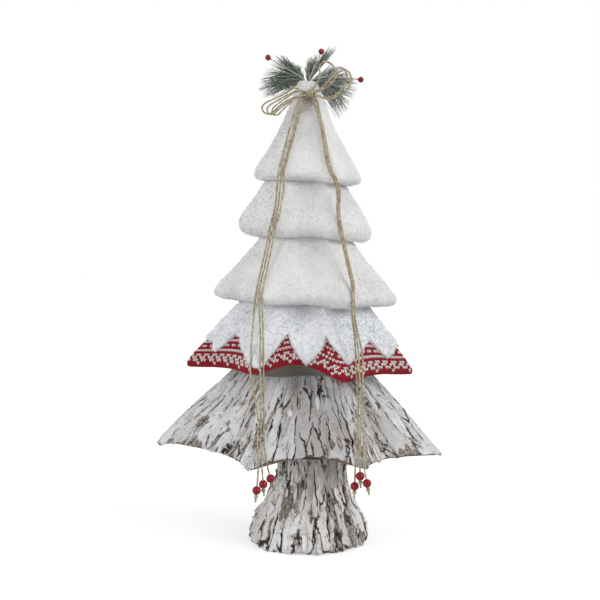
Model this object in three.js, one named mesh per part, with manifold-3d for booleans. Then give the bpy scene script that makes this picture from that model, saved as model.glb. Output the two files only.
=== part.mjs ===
import * as THREE from "three";
import { mergeVertices } from "three/addons/utils/BufferGeometryUtils.js";
import Module from "manifold-3d";

// A tabletop Christmas tree decoration: five foam tiers on a wooden dowel. The upper three are covered in plush, the
// fourth in knitting under a drape of snow, and the lowest and the trunk in birch bark. A beaded jute bow is tied
// at the top.
// Millimetres, +Z up. The front faces -Y, and the origin is the middle of the base's underside.

const wasm = await Module();
wasm.setup();

// Driving sizes shared by several pieces.
const clearance = 0.3;
const dowelRadius = 6;
const dowelDepth = 36; // how far the dowel's top lies below the top of the plush

const base = { thickness: 6, setBack: 2 }; // the board stands this far inside the foot of the foam

const trunk = {
  footRadius: 77,
  neckRadius: 46,
  flareHeight: 82, // the foot narrows to the neck over this height
  barkThickness: 5,
  barkLift: 1, // the bark stops just short of the table
  lean: 6, // how far the neck stands to the right of the foot
  panels: 6,
  columns: 6,
  relief: 4.2,
  rowShares: [0, 0.2, 0.4, 0.62, 0.82, 1],
  reliefShares: [0.4, 1, 0.1, 0.75, 0.05, 0.9, 0.2],
};

// The tiers from the table up. Reach is half the width between the side tips. Rise is the height from this
// tier's underside to the next one's, and lip the height of its rounded edge. Each tip is given along X, along Y
// and in height as shares of the reach: right, back right, back left, left, front left, front right.
const skirt = {
  lift: 106, // underside of the lip above the table
  rise: 104,
  lip: 6,
  reach: 181,
  cover: 4,
  overlay: 3.2, // the ridges between the plates of bark
  flare: 1,
  arch: 8,
  edgeRound: 1,
  hollowShares: [0.12, 0.24],
  tipShares: [
    [0.94, 0, -0.038],
    [0.38, 0.64, 0.01],
    [-0.39, 0.64, 0],
    [-1.06, 0, 0.064],
    [-0.39, -0.64, 0],
    [0.38, -0.64, 0.01],
  ],
};
const knit = {
  rise: 86,
  lip: 9,
  reach: 142,
  cover: 4,
  flare: 1,
  arch: 15.5,
  edgeRound: 5,
  hollowShares: [0.1, 0.24],
  tipShares: [
    [0.94, 0, -0.035],
    [0.31, 0.66, -0.03],
    [-0.46, 0.66, 0],
    [-1.08, 0, 0.035],
    [-0.46, -0.66, 0.05],
    [0.29, -0.66, -0.02],
  ],
};
const lowerPlush = {
  rise: 80,
  lip: 13,
  reach: 115.5,
  cover: 6,
  overlay: 0,
  flare: 1.12,
  arch: 3,
  edgeRound: 10,
  hollowShares: [0.1, 0.18],
  tipShares: [
    [0.97, 0, -0.045],
    [0.43, 0.66, -0.01],
    [-0.47, 0.66, 0],
    [-1.03, 0, 0.045],
    [-0.48, -0.66, 0.01],
    [0.43, -0.66, -0.02],
  ],
};
const middlePlush = {
  rise: 68,
  lip: 15,
  reach: 82.5,
  cover: 6,
  overlay: 0,
  flare: 1,
  arch: 3,
  edgeRound: 10,
  hollowShares: [0.08, 0.15],
  tipShares: [
    [0.96, 0, -0.07],
    [0.44, 0.66, -0.02],
    [-0.5, 0.66, 0.02],
    [-1.04, 0, 0.07],
    [-0.5, -0.66, 0.02],
    [0.45, -0.66, -0.02],
  ],
};
const upperPlush = {
  rise: 119,
  lip: 10,
  reach: 66,
  cover: 6,
  overlay: 0,
  flare: 1.35,
  arch: 2,
  edgeRound: 5,
  hollowShares: [0.06, 0.12],
  tipShares: [
    [0.99, 0, -0.05],
    [0.5, 0.68, -0.03],
    [-0.49, 0.68, 0.03],
    [-1.01, 0, 0.05],
    [-0.49, -0.68, 0.03],
    [0.53, -0.68, -0.04],
  ],
};
const tiers = [skirt, knit, lowerPlush, middlePlush, upperPlush];
const necks = [83, 66, 50, 45, 12.5]; // each tier's reach at its top, from the skirt up
const columnShares = [0.04, 0.25, 0.5, 0.75, 0.96]; // places across one of the six panels of a star
const ringShares = [0, 0.3, 0.65, 1]; // places down a tier's slope

const bark = {
  columns: 8,
  rowShares: [0, 0.25, 0.5, 0.75, 1],
  relief: 4.5,
  ragged: 3.5,
  reliefShares: [0.9, 0.1, 0.8, 0.15, 1, 0.3, 0.05, 0.95, 0.2],
  raggedShares: [0.2, 1, 0.5, 0, 0.75, 0.3, 0.9, 0.1, 0.2],
};

const snow = {
  thickness: 4.5,
  standOff: 1.2, // the fleece lies loosely on the knit
  dripShare: 0.88, // how far down the tier's slope a drip reaches
  peakShare: 0.42, // and where the knit shows highest between two drips
  ringShares: [0, 0.35, 0.7, 1],
};

// The jute: three strands tied in a bow at the top. Each strand's tail lies over the tiers to the lower edge of
// the skirt, and its free end hangs from there with a bead over a stop knot.
const twine = { radius: 1.2, sides: 8, step: 19, loopSides: 6, loopStep: 7 };
const bead = { radius: 5, boreRadius: 1.6, sides: 12, rows: 4 };
const stopKnot = { radius: 2.6, tail: 4, rows: 4 };
const bow = {
  width: 14,
  depth: 10.2,
  height: 12,
  across: 2.6,
  forward: 16.2,
  belowTop: 14.5,
  pinRadius: 0.7,
  pinLength: 18,
};

// The edges that the free ends swing about: a point of each axis, its direction, and along it each strand's
// place, with its bead's shift along the axis and its drop below it.
const leftEdge = {
  point: [-53, -108.3, 112.5],
  along: [0.91, 0.41, 0],
  ends: [
    { place: -4.4, shift: -2.5, drop: 24.5 },
    { place: 0, shift: 1.3, drop: 18.2 },
    { place: 7.2, shift: 3.3, drop: 12.5 },
  ],
};
const rightEdge = {
  point: [58.8, -112.3, 111.4],
  along: [0.888, -0.461, 0],
  ends: [
    { place: -6.1, shift: -0.5, drop: 19 },
    { place: 0, shift: 0.3, drop: 6.5 },
    { place: 5.9, shift: 3, drop: 13.8 },
  ],
};

// Each tail's route, from the bow's knot down over the lips.
const leftRoutes = [
  [
    [-3.2, -16, 544.4], [-6.5, -16.6, 542], [-13.5, -18.6, 535], [-19.2, -23.2, 516.3], [-22.8, -26.8, 503.3],
    [-28.4, -32.2, 482.2], [-33.6, -42, 462.6], [-35.3, -46, 454.4], [-36.4, -43, 447.4],
    [-37.4, -44.2, 429.4], [-39.6, -47.7, 410.4], [-44.6, -52.6, 391], [-47.8, -51.6, 373.8],
    [-53.8, -56.7, 346.8], [-58, -60.4, 327.8], [-61.5, -67.5, 310], [-63, -68.4, 296], [-64.3, -75.3, 274.7],
    [-66.2, -83.6, 249.1], [-67, -90.6, 227], [-66.6, -92.7, 219.1], [-64, -94.6, 204], [-59.6, -98, 180.9],
    [-57.6, -100.6, 165.5], [-58.4, -104.2, 143.5], [-57.5, -109.9, 125], [-57, -110.2, 114.1],
  ],
  [
    [-0.7, -16, 542.5], [-2.8, -16.8, 539.4], [-6, -18.6, 535.3], [-12.2, -22, 524.4], [-17.8, -27.8, 506],
    [-24.3, -36.1, 480.2], [-29.2, -42.6, 464.1], [-31.3, -45.6, 454.7], [-32.4, -47.1, 442.9], [-34, -49, 426.8],
    [-36, -51.2, 410.4], [-41.4, -53.9, 391], [-44.8, -57, 373.8], [-47.7, -60.3, 359.2], [-51, -63.8, 343.4],
    [-54.6, -67.1, 328.8], [-57.8, -74.1, 310], [-56.6, -77.4, 284.2], [-55.6, -81.6, 265.6],
    [-55.2, -91.5, 246.8], [-55.4, -91, 227], [-55.4, -93, 211.6], [-55, -95.5, 190.3], [-54.5, -99.1, 165.5],
    [-55, -103.3, 143.5], [-54, -107.8, 125], [-53, -108.4, 114.1],
  ],
  [
    [2.4, -16, 541.7], [1.6, -16.8, 538.4], [-2.6, -18.6, 532.3], [-8.6, -21.6, 524.4], [-14, -26.5, 509.5],
    [-19.4, -34.1, 486.8], [-25.4, -42.7, 464.1], [-27.8, -45.8, 454.7], [-28.4, -47.6, 447.4],
    [-28.8, -48.8, 435.5], [-31.4, -50.9, 417.5], [-33.8, -52.7, 403.7], [-38, -54.9, 391], [-41.4, -58.5, 373.8],
    [-44, -62.2, 359.2], [-47.3, -66.1, 343.4], [-50.9, -70.5, 326.6], [-54, -75, 309.5], [-53.2, -78.9, 284.2],
    [-52.3, -82.2, 265.6], [-51.9, -89.2, 246.8], [-52, -89.2, 227], [-51.8, -91.1, 211.6], [-51.6, -93.3, 190.3],
    [-51.3, -96.7, 165.5], [-51.2, -100.2, 143.5], [-48.8, -105, 125], [-46.5, -105.6, 114.1],
  ],
];
const rightRoutes = [
  [
    [5.3, -16, 542.1], [6.8, -16.8, 539], [10.1, -19.8, 530.7], [12, -22.5, 522.2], [15.3, -26.7, 508.1],
    [18.7, -32.6, 489.2], [22.1, -39.9, 465.7], [25.9, -44.9, 452.8], [30, -46.7, 445.8], [34, -48, 431.6],
    [34.3, -50, 414.2], [34.9, -52.3, 397.8], [36.8, -53.7, 386.7], [39.5, -56.5, 373.8], [44.9, -63, 347.9],
    [48, -66.4, 334.5], [50.6, -69.9, 321.1], [50.7, -74.4, 305], [51.2, -77.6, 282.5], [53.2, -80.3, 265.6],
    [54.8, -84.2, 241.4], [56, -89.2, 212.7], [57, -92.2, 199.4], [57.2, -95.9, 180], [56.6, -99, 163],
    [56, -103.3, 142], [54.6, -109, 125], [53.4, -109.6, 113],
  ],
  [
    [5.9, -19.8, 543.7], [7.9, -21.2, 541], [11.5, -22.6, 530.7], [13.4, -25, 522.2], [16.7, -29.2, 508.1],
    [20.1, -35.1, 489.2], [23.5, -42.4, 465.7], [27.3, -47.3, 452.8], [31.6, -49.4, 445.8], [35.6, -50.5, 431.6],
    [35.7, -52.5, 414.2], [36.3, -54.5, 397.8], [38.6, -55.8, 386.7], [40.9, -59, 373.8], [46.3, -65.5, 347.9],
    [49.4, -68.9, 334.5], [52, -72.4, 321.1], [52.1, -76.4, 305], [52.6, -80.1, 282.5], [55, -82.9, 265.6],
    [58.4, -86.7, 241.4], [59.4, -91.7, 212.7], [60.3, -94.7, 199.4], [60.2, -98.5, 180], [59.7, -101.7, 163],
    [59.3, -105.6, 142], [59, -111.7, 125], [58.8, -112.3, 113],
  ],
  [
    [8.1, -16, 543.5], [10.2, -16.6, 541.2], [12.9, -19.8, 530.7], [14.8, -22.5, 522.2], [18.1, -26.7, 508.1],
    [21.5, -32.5, 489.2], [24.9, -40.5, 465.7], [28.9, -45.5, 452.8], [33.2, -47.5, 445.8], [37.2, -48, 431.6],
    [37.1, -50, 414.2], [37.7, -52, 397.8], [40, -53.3, 386.7], [42.3, -56.5, 373.8], [47.7, -63, 347.9],
    [50.8, -66.4, 334.5], [53.4, -69.9, 321.1], [53.5, -73.9, 305], [54.4, -77.6, 282.5], [57.6, -80.3, 265.6],
    [62.6, -84.9, 241.4], [62.9, -90.9, 212.7], [63.4, -94.5, 199.4], [63.2, -98.9, 180], [62.9, -102.7, 163],
    [63.4, -107.3, 142], [63.8, -114.4, 125], [64, -115, 113],
  ],
];

// Each bow loop's route, out of the knot and back into it.
const leftLoops = [
  [
    [-3.5, -13.4, 551], [-7, -13.9, 552.6], [-15.4, -15.5, 556], [-22.4, -17.5, 551.9], [-30.6, -19.5, 547.6],
    [-43.2, -21.5, 541.2], [-51, -22.5, 537.2], [-55.2, -23, 531.6], [-52.4, -23, 525.6], [-46.2, -22.5, 524.4],
    [-41, -21.5, 527.2], [-36.1, -20.5, 532.2], [-30, -19, 537.2], [-22, -17, 542.2], [-14, -15, 545.4],
    [-7.4, -13.9, 546.6], [-3.7, -13.4, 546.9],
  ],
  [
    [-4.3, -16.2, 551.4], [-7.4, -16.8, 552.5], [-13.5, -18.7, 553], [-21, -20.9, 548.6], [-30, -23, 543.6],
    [-40, -24.8, 538], [-46.5, -25.6, 533.6], [-49.2, -26, 528.6], [-46.6, -26, 524], [-41.5, -25.6, 523.6],
    [-37, -24.8, 527.6], [-31, -23.4, 532.8], [-23, -21, 538.6], [-15, -18.7, 543.4], [-8.4, -16.9, 546.3],
    [-4.9, -16.2, 547.1],
  ],
  [
    [-3.1, -19.8, 550.7], [-6.1, -20.9, 551.5], [-12.5, -23, 551], [-20, -25.4, 546.4], [-29, -27.6, 540.4],
    [-37, -28.8, 534.6], [-42.6, -29.4, 528.6], [-41.6, -29.6, 523], [-36.4, -29.4, 522.2], [-31.6, -28.6, 527],
    [-25.4, -27, 533.2], [-18.4, -25, 538.8], [-11.4, -22.6, 543.6], [-6.2, -20.9, 546.1], [-3.2, -19.8, 546.8],
  ],
];
const rightLoops = [
  [
    [5.3, -13.5, 554], [7.2, -14, 557.2], [12.4, -15, 564.4], [14.4, -16, 573], [13.6, -17, 580.6],
    [16.8, -17.6, 585.4], [22.4, -18, 586.4], [28.6, -18, 583.6], [31.8, -18, 578.2], [28.4, -17.4, 570.6],
    [23.8, -16.6, 563.2], [17.6, -15.2, 557], [11.6, -13.9, 553.3], [8.1, -13.4, 551.8],
  ],
  [
    [9.9, -16.2, 546.9], [13.4, -16.7, 546.1], [18, -18, 544.9], [24, -19.5, 543.9], [32, -21.5, 546.4],
    [40, -22.8, 552.2], [44.3, -23.2, 560.4], [46.4, -23.2, 567.8], [45.2, -22.8, 574.6], [40.2, -22.2, 578.8],
    [34.8, -21.6, 577.6], [32.2, -21.4, 572.4], [28.4, -21, 566.8], [21.6, -19.6, 559.8], [15.8, -17.9, 554.8],
    [12.4, -16.7, 552.3], [9.5, -16.2, 551.3],
  ],
  [
    [8.2, -19.8, 546.3], [11.1, -20.9, 545.4], [16, -22.6, 543.6], [24, -24.8, 541.2], [34.3, -27, 544.2],
    [44.2, -28.6, 549.4], [49.6, -29, 556.4], [51, -29, 566.8], [47.6, -28.6, 574], [42.8, -28.2, 576.2],
    [37.4, -27.6, 573.8], [33.4, -27, 567.6], [26.4, -25.4, 558.8], [18, -22.8, 553.4], [12, -20.9, 551],
    [8.4, -19.8, 550.2],
  ],
];

// The sprigs and berries stand in the foam at the top of the tree. Each stem's peg goes straight down into its
// hole. Its route above it is given by the heights over the top.
const pegDepth = 8;
const sprig = {
  stemRadius: 1,
  needleRadius: 0.8,
  needleTipShare: 0.25,
  needles: 14,
  firstShare: 0.35, // where along the stem the needles start and end
  lastShare: 0.97,
  sideLoss: 0.25,
  step: 6,
  backShares: [0.1, 0.5, 0.25, 0.4],
};
const sprigs = {
  left: { peg: [-4, 1.2], route: [[-4.3, 1.5, 4.5], [-8, 3, 10.5], [-26, 5, 15]], needle: 38, spread: 64 },
  top: { peg: [0, 1.2], route: [[0.4, 1.6, 4], [3, 3, 9], [10, 5, 20]], needle: 31, spread: 40 },
  right: { peg: [4, 1.2], route: [[4.3, 1.5, 4], [10, 3, 7], [28, 5, 3]], needle: 36, spread: 66 },
};
const berry = { radius: 3.6, stemRadius: 0.7 };
const berries = {
  left: { peg: [-3, -2.2], route: [[-3.8, -2.6, 3.2], [-11, -6, 9], [-28, -8.5, 18], [-48.3, -8.5, 30.2]] },
  top: { peg: [0, -2.2], route: [[0.6, -2.8, 4], [4, -5.5, 11], [11, -8.5, 25], [16.2, -8.5, 37.5]] },
  right: { peg: [3, -2.2], route: [[4, -2.7, 3.2], [14, -6.5, 6.5], [34, -8.5, 7], [64.1, -8.5, 3.8]] },
};

// Each tier's place over the table, from the rises below it. The snow lies over the knit.
knit.overlay = snow.standOff + snow.thickness;
skirt.underside = skirt.lift;
tiers.forEach((tier, i) => {
  const above = tiers[i + 1];
  if (above) above.underside = tier.underside + tier.rise;
  tier.neck = necks[i];
  tier.seat = tier.underside + tier.cover + clearance; // the underside of its foam
  tier.tipHeight = tier.underside + tier.lip;
});
tiers.forEach((tier, i) => {
  const above = tiers[i + 1];
  tier.top = above ? above.seat - clearance : tier.underside + tier.rise;
});
const treeTop = upperPlush.top;

// A mesh from vertices and triangles, with its faces turned outwards.
function solid(vertices, triangles) {
  let volume = 0;
  for (const [a, b, c] of triangles) volume += vertices[a].dot(vertices[b].clone().cross(vertices[c]));
  const turned = volume < 0 ? triangles.map(([a, b, c]) => [a, c, b]) : triangles;
  const geometry = new THREE.BufferGeometry();
  geometry.setAttribute("position", new THREE.Float32BufferAttribute(vertices.flatMap((v) => v.toArray()), 3));
  geometry.setIndex(turned.flat());
  return geometry;
}

// The closed surface over rings with equally many points. Its ends are capped, or the last ring meets the first.
function skin(rings, ringed = false) {
  const sides = rings[0].length;
  const vertices = rings.flat();
  const triangles = [];
  const quad = (a, b, c, d) => {
    // The same diagonal on both sides of a shell: from the upper left corner to the lower right one.
    if (vertices[a].z > vertices[d].z) triangles.push([a, b, c], [a, c, d]);
    else triangles.push([a, b, d], [b, c, d]);
  };
  const spans = ringed ? rings.length : rings.length - 1;
  for (let r = 0; r < spans; r++) {
    const next = (r + 1) % rings.length;
    for (let i = 0; i < sides; i++) {
      const j = (i + 1) % sides;
      quad(r * sides + i, r * sides + j, next * sides + j, next * sides + i);
    }
  }
  if (!ringed) {
    [0, rings.length - 1].forEach((r) => {
      const middle = vertices.length;
      vertices.push(rings[r].reduce((sum, v) => sum.add(v), new THREE.Vector3()).divideScalar(sides));
      for (let i = 0; i < sides; i++) {
        const [a, b] = [r * sides + i, r * sides + ((i + 1) % sides)];
        triangles.push(r === 0 ? [middle, b, a] : [middle, a, b]);
      }
    });
  }
  return solid(vertices, triangles);
}

// A curved plate between an outer and an inner grid of points with equally many rows and columns.
function plate(outer, inner) {
  const [rows, columns] = [outer.length, outer[0].length];
  const vertices = [...outer.flat(), ...inner.flat()];
  const triangles = [];
  const at = (side, r, c) => side * rows * columns + r * columns + c;
  const quad = (a, b, c, d) => triangles.push([a, b, c], [a, c, d]);
  for (let r = 0; r + 1 < rows; r++) {
    for (let c = 0; c + 1 < columns; c++) {
      quad(at(0, r, c), at(0, r + 1, c), at(0, r + 1, c + 1), at(0, r, c + 1));
      quad(at(1, r, c), at(1, r, c + 1), at(1, r + 1, c + 1), at(1, r + 1, c));
    }
    const last = columns - 1;
    quad(at(0, r, 0), at(1, r, 0), at(1, r + 1, 0), at(0, r + 1, 0));
    quad(at(0, r, last), at(0, r + 1, last), at(1, r + 1, last), at(1, r, last));
  }
  for (let c = 0; c + 1 < columns; c++) {
    const last = rows - 1;
    quad(at(0, 0, c), at(0, 0, c + 1), at(1, 0, c + 1), at(1, 0, c));
    quad(at(0, last, c), at(1, last, c), at(1, last, c + 1), at(0, last, c + 1));
  }
  return solid(vertices, triangles);
}

const asManifold = (geometry) => {
  const bare = geometry.clone();
  bare.deleteAttribute("normal");
  bare.deleteAttribute("uv");
  const merged = mergeVertices(bare, clearance / 300);
  const triVerts = new Uint32Array(merged.index.array);
  return new wasm.Manifold(new wasm.Mesh({ numProp: 3, vertProperties: merged.attributes.position.array, triVerts }));
};
const asGeometry = (manifold) => {
  const { vertProperties, triVerts } = manifold.getMesh();
  const geometry = new THREE.BufferGeometry();
  geometry.setAttribute("position", new THREE.BufferAttribute(new Float32Array(vertProperties), 3));
  geometry.setIndex(new THREE.BufferAttribute(new Uint32Array(triVerts), 1));
  return geometry;
};
const joined = (geometries) => asGeometry(geometries.map(asManifold).reduce((all, next) => all.add(next)));
function cut(geometry, tools) {
  return asGeometry(tools.map(asManifold).reduce((left, tool) => left.subtract(tool), asManifold(geometry)));
}

// The star of a tier in plan: a point on one of its six panels. Across runs from 0 at one tip to 1 at the next.
function planPoint(tier, panel, across) {
  const [from, to] = [panel % 6, (panel + 1) % 6].map((tip) => new THREE.Vector3(...tier.tipShares[tip]));
  const hollow = tier.hollowShares[panel % 3 === 1 ? 1 : 0];
  return from.lerp(to, across).multiplyScalar(1 - hollow * 4 * across * (1 - across));
}

// A point of a tier's surface: out is the reach there, and inset how far it lies inside, towards the middle.
function tierPoint(tier, panel, across, out, height, inset) {
  const point = planPoint(tier, panel, across).multiplyScalar(out);
  point.multiplyScalar(1 - inset / Math.hypot(point.x, point.y));
  point.z += height;
  return point;
}
// The reach flares down the slope, in straight stretches between the rings.
function outAt(tier, down) {
  const next = Math.max(1, ringShares.findIndex((share) => share >= down));
  const [from, to] = [ringShares[next - 1], ringShares[next]];
  const part = (down - from) / (to - from);
  const flared = from ** tier.flare + (to ** tier.flare - from ** tier.flare) * part;
  return tier.neck + (tier.reach - tier.neck) * flared;
}
const heightAt = (tier, down) => tier.top + (tier.tipHeight - tier.top) * down;
const downAt = (tier, height) => (tier.top - height) / (tier.top - tier.tipHeight);
const archAt = (tier, panel, across) => tier.arch * (panel % 3 === 1 ? 1 : 1 / 4) * 4 * across * (1 - across);

const panels = [0, 1, 2, 3, 4, 5];
const starColumns = (shares) => panels.flatMap((panel) => shares.map((across) => [panel, across]));
const coverColumns = starColumns(columnShares);

// The slope's point, where the arches between the tips lift the lower part of the slope.
function slopePoint(tier, [panel, across], down, inset, raised = 0) {
  const height = heightAt(tier, down) + archAt(tier, panel, across) * down * down + raised;
  return tierPoint(tier, panel, across, outAt(tier, down), height, inset);
}
function slopeRing(tier, columns, down, inset, raised) {
  return columns.map((column) => slopePoint(tier, column, down, inset, raised));
}

// A ring at the tier's rounded lip, drawn in from the tips and lifted over the underside.
function lipRing(tier, columns, drawnIn, up, inset) {
  return columns.map(([panel, across]) => {
    const height = tier.underside + up + archAt(tier, panel, across);
    return tierPoint(tier, panel, across, tier.reach - drawnIn, height, inset);
  });
}

// Where the tier below passes through a hem, a clearance outside its outermost skin.
function neckRing(tier, columns, up) {
  const below = tiers[tiers.indexOf(tier) - 1];
  const out = outAt(below, Math.max(0, downAt(below, tier.underside)));
  const height = tier.underside + up;
  return columns.map(([panel, across]) => tierPoint(below, panel, across, out, height, -below.overlay - clearance));
}

// A fitted cover: over the slope, round the lip, under the edge as a hem, and back up inside.
function coverRings(tier, columns) {
  const outside = ringShares.map((down) => slopeRing(tier, columns, down, 0));
  const inside = ringShares.map((down) => slopeRing(tier, columns, down, tier.cover)).reverse();
  const under = tier.cover;
  return [
    ...outside,
    lipRing(tier, columns, tier.edgeRound / 4, tier.lip / 3, 0),
    lipRing(tier, columns, tier.edgeRound, 0, 0),
    neckRing(tier, columns, 0),
    neckRing(tier, columns, under),
    lipRing(tier, columns, tier.edgeRound, under, under),
    ...inside,
  ];
}

// The foam under a cover, from its top ring to its underside. Below a tier of the same moulding it starts there.
function foamRings(tier, columns, moulded = false) {
  const inset = tier.cover + clearance;
  return [
    ...ringShares.map((down) => slopeRing(tier, columns, down, inset, moulded && down === 0 ? clearance : 0)),
    lipRing(tier, columns, tier.edgeRound, inset, inset),
    neckRing(tier, columns, inset),
  ];
}

function boreRing(columns, height) {
  return columns.map(([panel, across]) => {
    const plan = planPoint(knit, panel, across);
    const share = (dowelRadius + clearance) / Math.hypot(plan.x, plan.y);
    return new THREE.Vector3(plan.x * share, plan.y * share, height);
  });
}

const root = new THREE.Group();
const finishes = {
  plush: new THREE.MeshStandardMaterial({ color: 0xe6e3df, roughness: 0.95 }),
  snow: new THREE.MeshStandardMaterial({ color: 0xf6f6f8, roughness: 1 }),
  knitWool: new THREE.MeshStandardMaterial({ color: 0xa8142a, roughness: 0.95 }),
  birchBark: new THREE.MeshStandardMaterial({ color: 0xbfb8ae, roughness: 0.9 }),
  foam: new THREE.MeshStandardMaterial({ color: 0xf2f2ef, roughness: 0.8 }),
  board: new THREE.MeshStandardMaterial({ color: 0xa98a63, roughness: 0.8 }),
  dowelWood: new THREE.MeshStandardMaterial({ color: 0xd3b483, roughness: 0.7 }),
  jute: new THREE.MeshStandardMaterial({ color: 0xb08a5a, roughness: 0.9 }),
  redLacquer: new THREE.MeshStandardMaterial({ color: 0xa80f1c, roughness: 0.2 }),
  needle: new THREE.MeshStandardMaterial({ color: 0x4d5a4a, roughness: 0.7 }),
  steel: new THREE.MeshStandardMaterial({ color: 0xb9bcc0, roughness: 0.3, metalness: 1 }),
};

function add(name, geometry, finish, parent = root) {
  const mesh = new THREE.Mesh(geometry, finish);
  mesh.name = name;
  parent.add(mesh);
  return mesh;
}

// A round disc or rod standing on its underside.
function upright(radius, height, sides) {
  return new THREE.CylinderGeometry(radius, radius, height, sides).rotateX(Math.PI / 2).translate(0, 0, height / 2);
}

// The base and the dowel that everything is threaded on.
const trunkInset = trunk.barkThickness + trunk.relief + clearance;
const trunkSides = trunk.panels * trunk.columns;
const trunkLeanAt = (height) => (trunk.lean * Math.min(height, trunk.flareHeight)) / trunk.flareHeight;
const trunkSkinRadius = (height) => {
  const down = Math.min(1, height / trunk.flareHeight);
  return trunk.neckRadius + ((trunk.footRadius - trunk.neckRadius) * (1 + Math.cos(Math.PI * down))) / 2;
};
const baseRadius = trunkSkinRadius(base.thickness) - trunkInset - base.setBack;
add("base_disc", upright(baseRadius, base.thickness, trunkSides), finishes.board);
const dowelFoot = base.thickness + clearance;
const dowelTop = treeTop - dowelDepth;
add("centre_dowel", upright(dowelRadius, dowelTop - dowelFoot, 16).translate(0, 0, dowelFoot), finishes.dowelWood);

// The trunk: flared foam, then plates of bark from ridge to ridge.
function trunkPoint(angle, height, inset) {
  const radius = trunkSkinRadius(height) - inset;
  return new THREE.Vector3(radius * Math.cos(angle) + trunkLeanAt(height), radius * Math.sin(angle), height);
}
const trunkAngles = Array.from({ length: trunkSides }, (_, i) => (2 * Math.PI * i) / trunkSides);
const trunkSeat = skirt.seat - clearance;
const trunkHeights = trunk.rowShares.map((share) => dowelFoot + (trunkSeat - dowelFoot) * share);
const trunkBore = (height) => trunkAngles.map((angle) => {
  return new THREE.Vector3(Math.cos(angle), Math.sin(angle), 0).multiplyScalar(dowelRadius + clearance).setZ(height);
});
const trunkFoam = trunkHeights.map((height) => trunkAngles.map((angle) => trunkPoint(angle, height, trunkInset)));
add("trunk_core", skin([...trunkFoam, trunkBore(trunkSeat), trunkBore(dowelFoot)], true), finishes.foam);

// How far a place on the bark stands out. A ridge runs over two rows, and the next one is shifted aside.
function reliefShare({ reliefShares }, panel, column, row) {
  return reliefShares[(column + panel + Math.floor((row + 1) / 2)) % reliefShares.length];
}

for (let panel = 0; panel < trunk.panels; panel++) {
  const gap = clearance / trunk.footRadius;
  const span = (2 * Math.PI) / trunk.panels - 2 * gap;
  const grid = (inside) => [trunk.barkLift, ...trunkHeights].map((height, row) => {
    return trunk.reliefShares.map((_, column) => {
      const angle = (2 * Math.PI * panel) / trunk.panels + gap + (span * column) / trunk.columns;
      const relief = reliefShare(trunk, panel, column, row);
      const inset = inside ? trunk.barkThickness + trunk.relief : trunk.relief * (1 - relief);
      return trunkPoint(angle, height, inset);
    });
  });
  add(`trunk_bark_${panel + 1}`, plate(grid(false), grid(true)), finishes.birchBark);
}

// The skirt tier: foam, then six plates of bark.
const skirtShares = Array.from({ length: bark.columns }, (_, i) => i / bark.columns);
const skirtColumns = starColumns(skirtShares);
const skirtInset = skirt.cover + bark.relief + clearance;
const skirtFoam = bark.rowShares.map((down) => slopeRing(skirt, skirtColumns, down, skirtInset));
const skirtUnder = lipRing(skirt, skirtColumns, skirt.edgeRound, skirt.cover + clearance, skirtInset);
const skirtSeat = skirtColumns.map(([panel, across]) => {
  const point = tierPoint(skirt, panel, across, skirt.neck, skirt.seat, 0);
  return point.setZ(skirt.seat);
});
add(
  "skirt_core",
  skin([...skirtFoam, skirtUnder, skirtSeat, ...[skirt.seat, skirt.top].map((z) => boreRing(skirtColumns, z))], true),
  finishes.foam,
);

panels.forEach((panel) => {
  const grid = (inside) => bark.rowShares.map((down, row) => {
    const width = outAt(skirt, down) * planPoint(skirt, panel, 0).distanceTo(planPoint(skirt, panel, 1));
    const gap = clearance / width;
    return bark.reliefShares.map((_, column) => {
      const across = gap + ((1 - 2 * gap) * column) / bark.columns;
      const relief = column % bark.columns ? reliefShare(bark, panel, column, row) : 1; // whole at the tips
      const inset = inside ? skirt.cover + bark.relief : bark.relief * (1 - relief);
      const point = slopePoint(skirt, [panel, across], down, inset);
      if (down === 1) point.z += bark.ragged * bark.raggedShares[column];
      return point;
    });
  });
  add(`skirt_bark_${panel + 1}`, plate(grid(false), grid(true)), finishes.birchBark);
});

// The knitted tier and its snow.
const knitFoam = foamRings(knit, coverColumns);
add(
  "knit_tier_core",
  skin([...knitFoam, boreRing(coverColumns, knit.seat), boreRing(coverColumns, knit.top)], true),
  finishes.foam,
);
add("knit_cover", skin(coverRings(knit, coverColumns), true), finishes.knitWool);

function snowRing(share, inset) {
  return coverColumns.map(([panel, across]) => {
    const wave = (1 + Math.cos(4 * Math.PI * across)) / 2;
    const edge = snow.peakShare + (snow.dripShare - snow.peakShare) * wave;
    return slopePoint(knit, [panel, across], share * edge, inset);
  });
}
const snowOutside = snow.ringShares.map((share) => snowRing(share, -snow.standOff - snow.thickness));
const snowInside = snow.ringShares.map((share) => snowRing(share, -snow.standOff)).reverse();
add("snow_drape", skin([...snowOutside, ...snowInside], true), finishes.snow);

// The upper three tiers: one foam moulding and three plush covers.
const mouldedTiers = [upperPlush, middlePlush, lowerPlush];
const moulding = mouldedTiers.flatMap((tier, i) => foamRings(tier, coverColumns, i > 0));
const upperFoam = skin([
  ...moulding,
  boreRing(coverColumns, lowerPlush.seat),
  boreRing(coverColumns, dowelTop + clearance),
]);

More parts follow.
